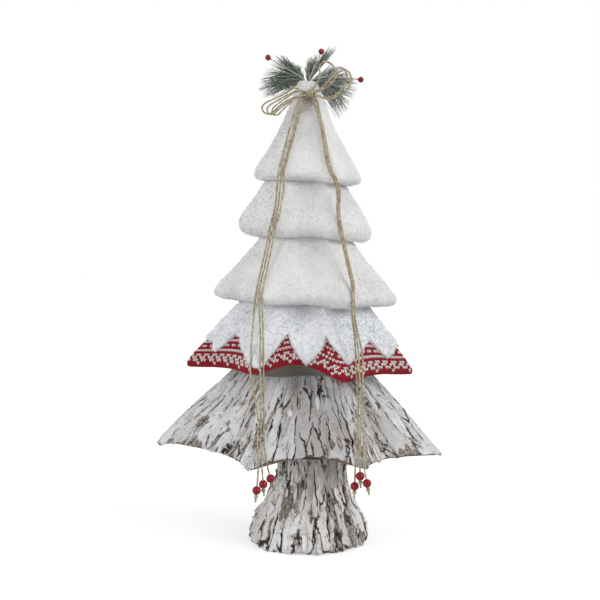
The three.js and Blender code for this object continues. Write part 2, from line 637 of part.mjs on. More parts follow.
// The bow's knot and the pin that holds it to the foam through the plush.
const bowPlace = new THREE.Vector3(bow.across, -bow.forward, treeTop - bow.belowTop);
const pinHole = rodAlongY(bow.pinRadius + clearance, bow.pinLength + clearance, bowPlace);
const knotBody = new THREE.SphereGeometry(1, 14, 10).scale(bow.width / 2, bow.depth / 2, bow.height / 2);
add("bow_knot", cut(knotBody.translate(...bowPlace.toArray()), [pinHole]), finishes.jute);
add("bow_pin", rodAlongY(bow.pinRadius, bow.pinLength, bowPlace), finishes.steel);
const pegHoles = Object.values(sprigs).concat(Object.values(berries)).map(({ peg }) => pegHole(peg));
add("upper_core", cut(upperFoam, [pinHole, ...pegHoles]), finishes.foam);
mouldedTiers.forEach((tier, i) => {
  const cover = skin(coverRings(tier, coverColumns), true);
  add(`plush_cover_${i + 1}`, tier === upperPlush ? cut(cover, [pinHole, ...pegHoles]) : cover, finishes.plush);
});

// The hole for a stem's peg, from under it to over the top of the foam.
function pegHole([x, y]) {
  const length = pegDepth + 2 * clearance;
  const radius = sprig.stemRadius + clearance;
  return new THREE.CylinderGeometry(radius, radius, length, 6)
    .rotateX(Math.PI / 2)
    .translate(x, y, treeTop + clearance - length / 2);
}

// A rod from a point backwards, its front end kept in place.
function rodAlongY(radius, length, start) {
  const rod = new THREE.CylinderGeometry(radius, radius, length, 8).translate(0, length / 2, 0);
  return rod.translate(...start.toArray());
}

// A tube along a smooth curve through the points.
function tube(points, radius, sides, step) {
  const path = new THREE.CatmullRomCurve3(points.map((p) => new THREE.Vector3(...p)));
  const angles = Array.from({ length: sides }, (_, i) => (2 * Math.PI * i) / sides);
  const section = new THREE.Shape(angles.map((a) => new THREE.Vector2(radius * Math.cos(a), radius * Math.sin(a))));
  const steps = Math.max(1, Math.round(path.getLength() / step));
  return new THREE.ExtrudeGeometry(section, { steps, extrudePath: path });
}

// Points of a round profile between two angles, each as a radius and a height under the top.
function arcProfile(radius, depth, from, to, rows) {
  return Array.from({ length: rows + 1 }, (_, i) => {
    const angle = from + ((to - from) * i) / rows;
    return new THREE.Vector2(radius * Math.cos(angle), depth - radius * Math.sin(angle));
  });
}

// A turned body whose axis runs from its top along a direction. The profile's heights grow away from the top.
function turned(profile, sides, top, down) {
  const body = new THREE.LatheGeometry(profile, sides);
  body.applyQuaternion(new THREE.Quaternion().setFromUnitVectors(new THREE.Vector3(0, 1, 0), down));
  return body.translate(...top.toArray());
}

// A free end, from its pivot at the skirt's edge down through the bead to a stop knot and a short tail.
function hangEnd(side, number, edge, { place, shift, drop }) {
  const along = new THREE.Vector3(...edge.along).normalize();
  const pivot = new THREE.Vector3(...edge.point).addScaledVector(along, place);
  const down = along.clone().multiplyScalar(shift).setZ(-drop);
  const beadDepth = down.length();
  down.normalize();
  const boreEdge = Math.acos(bead.boreRadius / bead.radius);
  const beadProfile = arcProfile(bead.radius, 0, boreEdge, -boreEdge, bead.rows);
  const beadPlace = pivot.clone().addScaledVector(down, beadDepth);
  const beadBody = turned([...beadProfile, beadProfile[0]], bead.sides, beadPlace, down);
  add(`bead_${side}_${number}`, beadBody, finishes.redLacquer);

  const knotShoulder = Math.sqrt(stopKnot.radius ** 2 - bead.boreRadius ** 2);
  const knotDepth = beadDepth + Math.sqrt(bead.radius ** 2 - bead.boreRadius ** 2) + knotShoulder + clearance;
  const knotEdge = Math.acos(twine.radius / stopKnot.radius);
  const foot = knotDepth + stopKnot.radius + stopKnot.tail;
  const profile = [
    ...arcProfile(twine.radius, 0, Math.PI / 2, 0, 2),
    ...arcProfile(stopKnot.radius, knotDepth, knotEdge, -knotEdge, stopKnot.rows),
    new THREE.Vector2(twine.radius, foot),
    new THREE.Vector2(0, foot),
  ];
  add(`twine_end_${side}_${number}`, turned(profile, twine.sides, pivot, down), finishes.jute);
}
const sides = {
  left: { routes: leftRoutes, loops: leftLoops, edge: leftEdge },
  right: { routes: rightRoutes, loops: rightLoops, edge: rightEdge },
};
Object.entries(sides).forEach(([side, { routes, loops, edge }]) => {
  routes.forEach((route, i) => {
    add(`twine_tail_${side}_${i + 1}`, tube(route, twine.radius, twine.sides, twine.step), finishes.jute);
  });
  edge.ends.forEach((end, i) => hangEnd(side, i + 1, edge, end));
  loops.forEach((loop, i) => {
    add(`bow_loop_${side}_${i + 1}`, tube(loop, twine.radius, twine.loopSides, twine.loopStep), finishes.jute);
  });
});

// A stem's points, from the foot of its peg.
function stemPoints({ peg: [x, y], route }) {
  return [[x, y, -pegDepth], [x, y, 0], ...route].map(([px, py, up]) => new THREE.Vector3(px, py, treeTop + up));
}

// A sprig: its stem and the fan of needles about it, on the back half so that the bow stays in front of them.
function sprigGeometry({ peg, route, needle, spread }) {
  const points = stemPoints({ peg, route });
  const path = new THREE.CatmullRomCurve3(points);
  const stemLine = points.at(-1).clone().sub(points.at(-3));
  const facing = new THREE.Vector3(0, 1, 0);
  const pieces = [tube(points.map((p) => p.toArray()), sprig.stemRadius, 5, sprig.step)];
  for (let i = 0; i < sprig.needles; i++) {
    const share = i / (sprig.needles - 1);
    const place = Math.min(sprig.lastShare, sprig.firstShare + (1 - sprig.firstShare) * share);
    const swing = THREE.MathUtils.degToRad(spread) * (1 - share) * (i % 2 ? 1 : -1);
    const direction = stemLine.clone().applyAxisAngle(facing, swing).normalize();
    direction.setY(sprig.backShares[i % sprig.backShares.length]).normalize();
    const length = needle * (1 - sprig.sideLoss * Math.abs(Math.sin(swing)));
    const tipRadius = sprig.needleRadius * sprig.needleTipShare;
    const spike = new THREE.CylinderGeometry(tipRadius, sprig.needleRadius, length, 3);
    spike.translate(0, length / 2, 0);
    spike.applyQuaternion(new THREE.Quaternion().setFromUnitVectors(facing, direction));
    pieces.push(spike.translate(...path.getPointAt(place).toArray()));
  }
  return joined(pieces);
}
Object.entries(sprigs).forEach(([side, values]) => {
  add(`pine_sprig_${side}`, sprigGeometry(values), finishes.needle);
});

Object.entries(berries).forEach(([side, values]) => {
  const points = stemPoints(values);
  const [before, place] = points.slice(-2);
  const stemEnd = place.clone().addScaledVector(before.clone().sub(place).normalize(), berry.radius + clearance);
  const stem = [...points.slice(0, -1), stemEnd].map((p) => p.toArray());
  add(`berry_stem_${side}`, tube(stem, berry.stemRadius, 6, 8), finishes.needle);
  const ball = new THREE.SphereGeometry(berry.radius, 10, 8).translate(...place.toArray());
  add(`berry_${side}`, ball, finishes.redLacquer);
});
export default root;
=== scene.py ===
import bmesh
import bpy
import math
import random
import numpy as np
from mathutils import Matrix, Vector
from mathutils.bvhtree import BVHTree
from mathutils.kdtree import KDTree


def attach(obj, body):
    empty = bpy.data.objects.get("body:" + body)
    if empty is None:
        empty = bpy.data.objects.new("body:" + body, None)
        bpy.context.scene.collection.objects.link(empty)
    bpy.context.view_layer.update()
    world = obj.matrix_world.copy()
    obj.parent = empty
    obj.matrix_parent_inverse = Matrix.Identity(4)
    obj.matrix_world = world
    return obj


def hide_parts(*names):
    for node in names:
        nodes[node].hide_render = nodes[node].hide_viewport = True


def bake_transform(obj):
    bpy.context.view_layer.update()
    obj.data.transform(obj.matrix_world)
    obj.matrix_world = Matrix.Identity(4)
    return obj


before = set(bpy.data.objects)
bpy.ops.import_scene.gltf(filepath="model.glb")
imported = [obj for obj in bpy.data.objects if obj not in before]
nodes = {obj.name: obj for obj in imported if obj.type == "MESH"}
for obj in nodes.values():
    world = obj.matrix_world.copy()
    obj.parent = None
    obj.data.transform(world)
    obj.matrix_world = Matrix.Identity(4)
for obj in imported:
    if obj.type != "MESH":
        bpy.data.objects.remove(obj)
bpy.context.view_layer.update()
scene = bpy.context.scene
print("frame loaded,", len(nodes), "nodes")

# The camera: its place in metres, its tilt in degrees, its lens and sensor in millimetres

view = {"place": (-0.0096, -1.25, 0.386), "tilt": 86, "lens": 60.7, "sensor": 36}
camera = bpy.data.objects.new("camera", bpy.data.cameras.new("camera"))
camera.location = view["place"]
camera.rotation_euler = (math.radians(view["tilt"]), 0, 0)
camera.data.lens = view["lens"]
camera.data.sensor_width = view["sensor"]
scene.collection.objects.link(camera)
scene.camera = camera
scene.view_settings.view_transform = "Standard"

# Small helpers for nodes, materials, meshes and lines


def linearColour(code):  # "#RRGGBB" as seen on a screen, to the linear colour that a shader takes
    channels = [int(code[i:i + 2], 16) / 255 for i in (1, 3, 5)]
    return tuple(c / 12.92 if c <= 0.04045 else ((c + 0.055) / 1.055) ** 2.4 for c in channels) + (1.0,)


def perMetre(millimetres):  # a pattern's scale from the real size of what it draws
    return 1000 / millimetres


def addNode(tree, kind, *values, give=None, stops=None, **named):
    # small letters name a setting, capitals a socket, and values without a name fill the first sockets
    node = tree.nodes.new(kind if "Node" in kind else "ShaderNode" + kind)
    for name, value in named.items():
        if name[0].islower():
            setattr(node, name, value)
    fills = list(zip(node.inputs, values))
    for name, value in named.items():
        if name[0].isupper():
            fills.append((next(s for s in node.inputs if s.enabled and s.name == name), value))
    for socket, value in fills:
        if isinstance(value, bpy.types.NodeSocket):
            tree.links.new(value, socket)
        else:
            isColour = isinstance(value, str) and value.startswith("#")
            socket.default_value = linearColour(value) if isColour else value
    if stops:
        marks = node.color_ramp.elements
        while len(marks) < len(stops):
            marks.new(0.5)
        for mark, (place, tone) in zip(marks, stops):
            mark.position = place
            mark.color = linearColour(tone) if isinstance(tone, str) else (tone, tone, tone, 1)
    return next((s for s in node.outputs if s.enabled and s.name == (give or s.name)), node)


def newMaterial(name, plain):  # plain holds what is the same all over, for the shader's own sockets
    material = bpy.data.materials.new(name)
    material.use_nodes = True
    tree = material.node_tree
    shader = tree.nodes["Principled BSDF"]
    for socket, value in plain.items():
        shader.inputs[socket].default_value = linearColour(value) if isinstance(value, str) else value
    return material, tree, shader


def meshPiece(name, points, faces, material, uvs=None, smooth=True):
    mesh = bpy.data.meshes.new(name)
    mesh.from_pydata([tuple(p) for p in points], [], faces)
    mesh.polygons.foreach_set("use_smooth", [smooth] * len(mesh.polygons))
    if uvs is not None:
        layer = mesh.uv_layers.new(name="UVMap")
        corners = np.zeros(len(mesh.loops), np.int32)
        mesh.loops.foreach_get("vertex_index", corners)
        layer.data.foreach_set("uv", np.asarray(uvs, np.float32)[corners].ravel())
    mesh.update()
    piece = bpy.data.objects.new(name, mesh)
    piece.data.materials.append(material)
    scene.collection.objects.link(piece)
    return piece


def setAttribute(piece, name, values, kind="FLOAT"):
    attribute = piece.data.attributes.new(name, kind, "POINT")
    key = "value" if kind == "FLOAT" else "vector"
    attribute.data.foreach_set(key, np.asarray(values, np.float32).ravel())


def curvePoints(route, step):  # one smooth line through the points of a route, with a point at each step
    points = [Vector(p) for p in route]
    points = [points[0] * 2 - points[1]] + points + [points[-1] * 2 - points[-2]]
    line = []
    for a, b, c, d in zip(points, points[1:], points[2:], points[3:]):
        spans = ((a, b), (b, c), (c, d))
        knots = [0.0]
        for p, q in spans:
            knots.append(knots[-1] + max((q - p).length, 1e-6) ** 0.5)
        count = max(2, round((c - b).length / step))
        for i in range(count):
            t = knots[1] + (knots[2] - knots[1]) * i / count
            near = [p.lerp(q, (t - knots[n]) / (knots[n + 1] - knots[n])) for n, (p, q) in enumerate(spans)]
            early = near[0].lerp(near[1], (t - knots[0]) / (knots[2] - knots[0]))
            late = near[1].lerp(near[2], (t - knots[1]) / (knots[3] - knots[1]))
            line.append(early.lerp(late, (t - knots[1]) / (knots[2] - knots[1])))
    return line + [points[-2]]


def lineLength(line):
    return sum((b - a).length for a, b in zip(line, line[1:]))


def lineFrames(line):  # at each point: along the line, and two directions across it that don't spin
    last = len(line) - 1
    tangents = [(line[min(i + 1, last)] - line[max(i - 1, 0)]).normalized() for i in range(len(line))]
    across = tangents[0].orthogonal().normalized()
    frames = []
    for tangent in tangents:
        across = (across - tangent * across.dot(tangent)).normalized()
        frames.append((tangent, across, tangent.cross(across)))
    return frames


def addTube(points, faces, uvs, centres, radii, sides, u=0.0):
    first = len(points)
    travelled = 0.0
    for i, (centre, (tangent, across, over)) in enumerate(zip(centres, lineFrames(centres))):
        travelled += (centre - centres[i - 1]).length if i else 0
        for k in range(sides):
            angle = 2 * math.pi * k / sides
            points.append(centre + (across * math.cos(angle) + over * math.sin(angle)) * radii[i])
            uvs.append((u + k / sides, travelled))
    for i in range(len(centres) - 1):
        for k in range(sides):
            a, b = first + i * sides + k, first + i * sides + (k + 1) % sides
            faces.append((a, b, b + sides, a + sides))
    faces.append(tuple(reversed(range(first, first + sides))))
    last = first + (len(centres) - 1) * sides
    faces.append(tuple(range(last, last + sides)))


# Jute twine, its beads and the bow

twine = {
    "radius": 0.0012,  # of a whole strand, in metres
    "plies": 3,
    "plyRadius": 0.00066,
    "plySides": 5,
    "turn": 0.0062,  # the length in which a ply goes round once
    "step": 0.0012,  # from point to point along a strand
    "pressStep": 0.0008,  # and along the lines that press the fleece in
    "tailHairs": 260,
    "footHairs": 14,
    "loopHairs": 70,
    "hairReach": 0.0022,
    "footHairReach": 0.003,
    "hairRoot": 0.8,  # how deep a hair starts, as a share of the radius
    "hairWidth": 0.00009,
    "hairThickness": 0.00016,
    "foot": 0.0066,  # what hangs on below the middle of the stop knot
    "knotBelowBead": 0.0023,
    "tailPhase": 1.3,  # how far on, in radians, the next strand's twist starts
    "loopPhase": 0.9,
}

# each strand's route from the bow's knot down over the lips, in metres
leftTails = [
    [(-0.0032, -0.016, 0.5444), (-0.0065, -0.0166, 0.542), (-0.0135, -0.0186, 0.535),
     (-0.0192, -0.0232, 0.5163), (-0.0228, -0.0268, 0.5033), (-0.0284, -0.0322, 0.4822),
     (-0.0336, -0.042, 0.4626), (-0.0353, -0.046, 0.4544), (-0.0364, -0.043, 0.4474),
     (-0.0374, -0.0442, 0.4294), (-0.0396, -0.0477, 0.4104), (-0.0446, -0.0526, 0.391),
     (-0.0478, -0.0516, 0.3738), (-0.0538, -0.0567, 0.3468), (-0.058, -0.0604, 0.3278),
     (-0.0615, -0.0675, 0.31), (-0.063, -0.0684, 0.296), (-0.0643, -0.0753, 0.2747),
     (-0.0662, -0.0836, 0.2491), (-0.067, -0.0906, 0.227), (-0.0666, -0.0927, 0.2191),
     (-0.064, -0.0946, 0.204), (-0.0596, -0.098, 0.1809), (-0.0576, -0.1006, 0.1655),
     (-0.0584, -0.1042, 0.1435), (-0.0575, -0.1099, 0.125), (-0.057, -0.1102, 0.1141)],
    [(-0.0007, -0.016, 0.5425), (-0.0028, -0.0168, 0.5394), (-0.006, -0.0186, 0.5353),
     (-0.0122, -0.022, 0.5244), (-0.0178, -0.0278, 0.506), (-0.0243, -0.0361, 0.4802),
     (-0.0292, -0.0426, 0.4641), (-0.0313, -0.0456, 0.4547), (-0.0324, -0.0471, 0.4429),
     (-0.034, -0.049, 0.4268), (-0.036, -0.0512, 0.4104), (-0.0414, -0.0539, 0.391),
     (-0.0448, -0.057, 0.3738), (-0.0477, -0.0603, 0.3592), (-0.051, -0.0638, 0.3434),
     (-0.0546, -0.0671, 0.3288), (-0.0578, -0.0741, 0.31), (-0.0566, -0.0774, 0.2842),
     (-0.0556, -0.0816, 0.2656), (-0.0552, -0.0915, 0.2468), (-0.0554, -0.091, 0.227),
     (-0.0554, -0.093, 0.2116), (-0.055, -0.0955, 0.1903), (-0.0545, -0.0991, 0.1655),
     (-0.055, -0.1033, 0.1435), (-0.054, -0.1078, 0.125), (-0.053, -0.1084, 0.1141)],
    [(0.0024, -0.016, 0.5417), (0.0016, -0.0168, 0.5384), (-0.0026, -0.0186, 0.5323),
     (-0.0086, -0.0216, 0.5244), (-0.014, -0.0265, 0.5095), (-0.0194, -0.0341, 0.4868),
     (-0.0254, -0.0427, 0.4641), (-0.0278, -0.0458, 0.4547), (-0.0284, -0.0476, 0.4474),
     (-0.0288, -0.0488, 0.4355), (-0.0314, -0.0509, 0.4175), (-0.0338, -0.0527, 0.4037),
     (-0.038, -0.0549, 0.391), (-0.0414, -0.0585, 0.3738), (-0.044, -0.0622, 0.3592),
     (-0.0473, -0.0661, 0.3434), (-0.0509, -0.0705, 0.3266), (-0.054, -0.075, 0.3095),
     (-0.0532, -0.0789, 0.2842), (-0.0523, -0.0822, 0.2656), (-0.0519, -0.0892, 0.2468),
     (-0.052, -0.0892, 0.227), (-0.0518, -0.0911, 0.2116), (-0.0516, -0.0933, 0.1903),
     (-0.0513, -0.0967, 0.1655), (-0.0512, -0.1002, 0.1435), (-0.0488, -0.105, 0.125),
     (-0.0465, -0.1056, 0.1141)],
]
rightTails = [
    [(0.0053, -0.016, 0.5421), (0.0068, -0.0168, 0.539), (0.0101, -0.0198, 0.5307),
     (0.012, -0.0225, 0.5222), (0.0153, -0.0267, 0.5081), (0.0187, -0.0326, 0.4892),
     (0.0221, -0.0399, 0.4657), (0.0259, -0.0449, 0.4528), (0.03, -0.0467, 0.4458), (0.034, -0.048, 0.4316),
     (0.0343, -0.05, 0.4142), (0.0349, -0.0523, 0.3978), (0.0368, -0.0537, 0.3867),
     (0.0395, -0.0565, 0.3738), (0.0449, -0.063, 0.3479), (0.048, -0.0664, 0.3345),
     (0.0506, -0.0699, 0.3211), (0.0507, -0.0744, 0.305), (0.0512, -0.0776, 0.2825),
     (0.0532, -0.0803, 0.2656), (0.0548, -0.0842, 0.2414), (0.056, -0.0892, 0.2127),
     (0.057, -0.0922, 0.1994), (0.0572, -0.0959, 0.18), (0.0566, -0.099, 0.163), (0.056, -0.1033, 0.142),
     (0.0546, -0.109, 0.125), (0.0534, -0.1096, 0.113)],
    [(0.0059, -0.0198, 0.5437), (0.0079, -0.0212, 0.541), (0.0115, -0.0226, 0.5307),
     (0.0134, -0.025, 0.5222), (0.0167, -0.0292, 0.5081), (0.0201, -0.0351, 0.4892),
     (0.0235, -0.0424, 0.4657), (0.0273, -0.0473, 0.4528), (0.0316, -0.0494, 0.4458),
     (0.0356, -0.0505, 0.4316), (0.0357, -0.0525, 0.4142), (0.0363, -0.0545, 0.3978),
     (0.0386, -0.0558, 0.3867), (0.0409, -0.059, 0.3738), (0.0463, -0.0655, 0.3479),
     (0.0494, -0.0689, 0.3345), (0.052, -0.0724, 0.3211), (0.0521, -0.0764, 0.305),
     (0.0526, -0.0801, 0.2825), (0.055, -0.0829, 0.2656), (0.0584, -0.0867, 0.2414),
     (0.0594, -0.0917, 0.2127), (0.0603, -0.0947, 0.1994), (0.0602, -0.0985, 0.18),
     (0.0597, -0.1017, 0.163), (0.0593, -0.1056, 0.142), (0.059, -0.1117, 0.125), (0.0588, -0.1123, 0.113)],
    [(0.0081, -0.016, 0.5435), (0.0102, -0.0166, 0.5412), (0.0129, -0.0198, 0.5307),
     (0.0148, -0.0225, 0.5222), (0.0181, -0.0267, 0.5081), (0.0215, -0.0325, 0.4892),
     (0.0249, -0.0405, 0.4657), (0.0289, -0.0455, 0.4528), (0.0332, -0.0475, 0.4458),
     (0.0372, -0.048, 0.4316), (0.0371, -0.05, 0.4142), (0.0377, -0.052, 0.3978), (0.04, -0.0533, 0.3867),
     (0.0423, -0.0565, 0.3738), (0.0477, -0.063, 0.3479), (0.0508, -0.0664, 0.3345),
     (0.0534, -0.0699, 0.3211), (0.0535, -0.0739, 0.305), (0.0544, -0.0776, 0.2825),
     (0.0576, -0.0803, 0.2656), (0.0626, -0.0849, 0.2414), (0.0629, -0.0909, 0.2127),
     (0.0634, -0.0945, 0.1994), (0.0632, -0.0989, 0.18), (0.0629, -0.1027, 0.163), (0.0634, -0.1073, 0.142),
     (0.0638, -0.1144, 0.125), (0.064, -0.115, 0.113)],
]
leftLoops = [
    [(-0.0035, -0.0134, 0.551), (-0.007, -0.0139, 0.5526), (-0.0154, -0.0155, 0.556),
     (-0.0224, -0.0175, 0.5519), (-0.0306, -0.0195, 0.5476), (-0.0432, -0.0215, 0.5412),
     (-0.051, -0.0225, 0.5372), (-0.0552, -0.023, 0.5316), (-0.0524, -0.023, 0.5256),
     (-0.0462, -0.0225, 0.5244), (-0.041, -0.0215, 0.5272), (-0.0361, -0.0205, 0.5322),
     (-0.03, -0.019, 0.5372), (-0.022, -0.017, 0.5422), (-0.014, -0.015, 0.5454),
     (-0.0074, -0.0139, 0.5466), (-0.0037, -0.0134, 0.5469)],
    [(-0.0043, -0.0162, 0.5514), (-0.0074, -0.0168, 0.5525), (-0.0135, -0.0187, 0.553),
     (-0.021, -0.0209, 0.5486), (-0.03, -0.023, 0.5436), (-0.04, -0.0248, 0.538),
     (-0.0465, -0.0256, 0.5336), (-0.0492, -0.026, 0.5286), (-0.0466, -0.026, 0.524),
     (-0.0415, -0.0256, 0.5236), (-0.037, -0.0248, 0.5276), (-0.031, -0.0234, 0.5328),
     (-0.023, -0.021, 0.5386), (-0.015, -0.0187, 0.5434), (-0.0084, -0.0169, 0.5463),
     (-0.0049, -0.0162, 0.5471)],
    [(-0.0031, -0.0198, 0.5507), (-0.0061, -0.0209, 0.5515), (-0.0125, -0.023, 0.551),
     (-0.02, -0.0254, 0.5464), (-0.029, -0.0276, 0.5404), (-0.037, -0.0288, 0.5346),
     (-0.0426, -0.0294, 0.5286), (-0.0416, -0.0296, 0.523), (-0.0364, -0.0294, 0.5222),
     (-0.0316, -0.0286, 0.527), (-0.0254, -0.027, 0.5332), (-0.0184, -0.025, 0.5388),
     (-0.0114, -0.0226, 0.5436), (-0.0062, -0.0209, 0.5461), (-0.0032, -0.0198, 0.5468)],
]
rightLoops = [
    [(0.0053, -0.0135, 0.554), (0.0072, -0.014, 0.5572), (0.0124, -0.015, 0.5644), (0.0144, -0.016, 0.573),
     (0.0136, -0.017, 0.5806), (0.0168, -0.0176, 0.5854), (0.0224, -0.018, 0.5864),
     (0.0286, -0.018, 0.5836), (0.0318, -0.018, 0.5782), (0.0284, -0.0174, 0.5706),
     (0.0238, -0.0166, 0.5632), (0.0176, -0.0152, 0.557), (0.0116, -0.0139, 0.5533),
     (0.0081, -0.0134, 0.5518)],
    [(0.0099, -0.0162, 0.5469), (0.0134, -0.0167, 0.5461), (0.018, -0.018, 0.5449),
     (0.024, -0.0195, 0.5439), (0.032, -0.0215, 0.5464), (0.04, -0.0228, 0.5522), (0.0443, -0.0232, 0.5604),
     (0.0464, -0.0232, 0.5678), (0.0452, -0.0228, 0.5746), (0.0402, -0.0222, 0.5788),
     (0.0348, -0.0216, 0.5776), (0.0322, -0.0214, 0.5724), (0.0284, -0.021, 0.5668),
     (0.0216, -0.0196, 0.5598), (0.0158, -0.0179, 0.5548), (0.0124, -0.0167, 0.5523),
     (0.0095, -0.0162, 0.5513)],
    [(0.0082, -0.0198, 0.5463), (0.0111, -0.0209, 0.5454), (0.016, -0.0226, 0.5436),
     (0.024, -0.0248, 0.5412), (0.0343, -0.027, 0.5442), (0.0442, -0.0286, 0.5494),
     (0.0496, -0.029, 0.5564), (0.051, -0.029, 0.5668), (0.0476, -0.0286, 0.574), (0.0428, -0.0282, 0.5762),
     (0.0374, -0.0276, 0.5738), (0.0334, -0.027, 0.5676), (0.0264, -0.0254, 0.5588),
     (0.018, -0.0228, 0.5534), (0.012, -0.0209, 0.551), (0.0084, -0.0198, 0.5502)],
]


def juteMaterial():  # spun plant fibre: uneven straw brown with pale crests, hairy, and without any shine
    material, tree, shader = newMaterial("natural jute", {"Roughness": 0.9, "Sheen Weight": 0.2})
    place = addNode(tree, "TexCoord", give="Object")
    patch = addNode(tree, "TexNoise", Vector=place, Scale=perMetre(3), Detail=4, Roughness=0.6)
    # jute fibres are 0.05 mm thick and are drawn at 0.4 mm, so that they show
    fibre = addNode(tree, "TexNoise", Vector=place, Scale=perMetre(0.4), Detail=2, Roughness=0.6)
    straw = addNode(tree, "ValToRGB", patch, stops=[(0.32, "#85795B"), (0.5, "#BDB192"), (0.68, "#E9E2CF")])
    shade = addNode(tree, "ValToRGB", fibre, stops=[(0.35, "#A8987C"), (0.6, "#FFFFFF")])
    colour = addNode(tree, "Mix", data_type="RGBA", blend_type="MULTIPLY", Factor=0.6, A=straw, B=shade)
    normal = addNode(tree, "Bump", Height=fibre, Strength=0.5, Distance=0.0003)
    tree.links.new(colour, shader.inputs["Base Color"])
    tree.links.new(normal, shader.inputs["Normal"])
    return material


jute = juteMaterial()


def addPliedStrand(points, faces, uvs, line, phase):
    frames = lineFrames(line)
    reach = twine["radius"] - twine["plyRadius"]
    for ply in range(twine["plies"]):
        centres, travelled = [], 0.0
        for i, (p, (tangent, across, over)) in enumerate(zip(line, frames)):
            travelled += (p - line[i - 1]).length if i else 0
            angle = 2 * math.pi * (travelled / twine["turn"] + ply / twine["plies"]) + phase
            centres.append(p + (across * math.cos(angle) + over * math.sin(angle)) * reach)
        addTube(points, faces, uvs, centres, [twine["plyRadius"]] * len(centres), twine["plySides"], ply)


def addHairs(points, faces, uvs, line, count, rng, reach=twine["hairReach"]):  # loose fibres on a strand
    for _ in range(count):
        i = rng.randrange(1, len(line) - 1)
        along = (line[i + 1] - line[i - 1]).normalized()
        side = Vector((rng.uniform(-1, 1), rng.uniform(-1, 1), rng.uniform(-1, 1))).cross(along).normalized()
        root = line[i] + side * twine["radius"] * twine["hairRoot"]
        outward = side * rng.uniform(0.3, 0.7)
        forward = along * rng.choice((-1, 1)) * rng.uniform(0.6, 1.2)
        tip = root + (outward + forward) * reach * rng.uniform(0.5, 1)
        other = along.cross(side) * twine["hairWidth"]
        first = len(points)
        points.extend([root + other, root - other, root + along * twine["hairThickness"], tip])
        uvs.extend([(0, 0)] * 4)
        for corners in ((0, 1, 2), (0, 3, 1), (1, 3, 2), (2, 3, 0)):
            faces.append(tuple(first + c for c in corners))


stopKnot = {
    "wraps": 2.25,
    "points": 48,
    "sides": 6,
    "wrapRadius": 0.00165,
    "halfHeight": 0.0011,
    "ply": 0.00088,
    "lapWide": 0.0016,  # the last lap goes up over the wraps
    "lapTall": 0.0018,
    "lapOut": 0.0011,
    "lapHalfTurn": 1.9,
    "lapPoints": 14,
    "lapPly": 0.0008,
}


def addStopKnot(points, faces, uvs, centre, down):
    values = stopKnot
    across = down.orthogonal().normalized()
    over = down.cross(across)
    wraps = []
    for i in range(values["points"] + 1):
        angle = 2 * math.pi * values["wraps"] * i / values["points"]
        out = across * math.cos(angle) + over * math.sin(angle)
        rise = 2 * i / values["points"] - 1
        wraps.append(centre + out * values["wrapRadius"] + down * values["halfHeight"] * rise)
    addTube(points, faces, uvs, wraps, [values["ply"]] * len(wraps), values["sides"])
    lap = []
    for angle in np.linspace(-values["lapHalfTurn"], values["lapHalfTurn"], values["lapPoints"]):
        point = centre + over * values["lapWide"] * math.cos(angle)
        point = point + down * values["lapTall"] * math.sin(angle)
        lap.append(point + across * values["lapOut"])
    addTube(points, faces, uvs, lap, [values["lapPly"]] * len(lap), values["sides"])


beadParts = {"radius": 0.005, "bore": 0.0016, "boreLining": 0.9, "sides": 32, "rows": 20}

# Where each side's strands leave the lip of the bark skirt: a point on the lip, its direction, and for
# each strand its place along the lip, how far its bead is shifted along it, and how far the bead hangs
lips = {
    "left": {"point": (-0.053, -0.1083, 0.1125), "along": (0.91, 0.41, 0),
             "ends": [(-0.0044, -0.0025, 0.0245), (0, 0.0013, 0.0182), (0.0072, 0.0033, 0.0125)]},
    "right": {"point": (0.0588, -0.1123, 0.1114), "along": (0.888, -0.461, 0),
              "ends": [(-0.0061, -0.0005, 0.019), (0, 0.0003, 0.0065), (0.0059, 0.003, 0.0138)]},
}


def lacquerMaterial():  # turned wood dipped in red lacquer: deep red, one small highlight, faint grain
    material, tree, shader = newMaterial("glossy red lacquer on wood", {"Specular IOR Level": 0.28})
    place = addNode(tree, "TexCoord", give="Object")
    upright = addNode(tree, "Mapping", Vector=place, Scale=(1, 1, 0.25))
    grain = addNode(tree, "TexNoise", Vector=upright, Scale=perMetre(1.1), Detail=3, Roughness=0.6)
    red = addNode(tree, "ValToRGB", grain, stops=[(0.3, "#6E0214"), (0.6, "#94041C"), (0.8, "#A80A26")])
    flow = addNode(tree, "TexNoise", Vector=place, Scale=perMetre(2.5), Detail=2, Roughness=0.6)
    gloss = addNode(tree, "ValToRGB", flow, stops=[(0.3, 0.1), (0.7, 0.2)])
    normal = addNode(tree, "Bump", Height=grain, Strength=0.15, Distance=0.0001)
    tree.links.new(red, shader.inputs["Base Color"])
    tree.links.new(gloss, shader.inputs["Roughness"])
    tree.links.new(normal, shader.inputs["Normal"])
    return material


lacquer = lacquerMaterial()


def beadPiece(name, centre, down):  # a ball with a bore from end to end
    radius, bore, sides = beadParts["radius"], beadParts["bore"], beadParts["sides"]
    edge = math.acos(bore / radius)
    angles = np.linspace(edge, -edge, beadParts["rows"])
    profile = [(radius * math.cos(a), radius * math.sin(a)) for a in angles]
    depth = profile[0][1]
    profile += [(bore * beadParts["boreLining"], -depth * share) for share in (0.97, 0.0, -0.97)]
    turn = Vector((0, 0, -1)).rotation_difference(down)
    points, faces, rows = [], [], len(profile)
    for k in range(sides):
        angle = 2 * math.pi * k / sides
        for r, z in profile:
            points.append(centre + turn @ Vector((r * math.cos(angle), r * math.sin(angle), z)))
    for k in range(sides):
        for j in range(rows):
            here, there = k * rows, ((k + 1) % sides) * rows
            faces.append((here + j, here + (j + 1) % rows, there + (j + 1) % rows, there + j))
    return meshPiece(name, points, faces, lacquer)


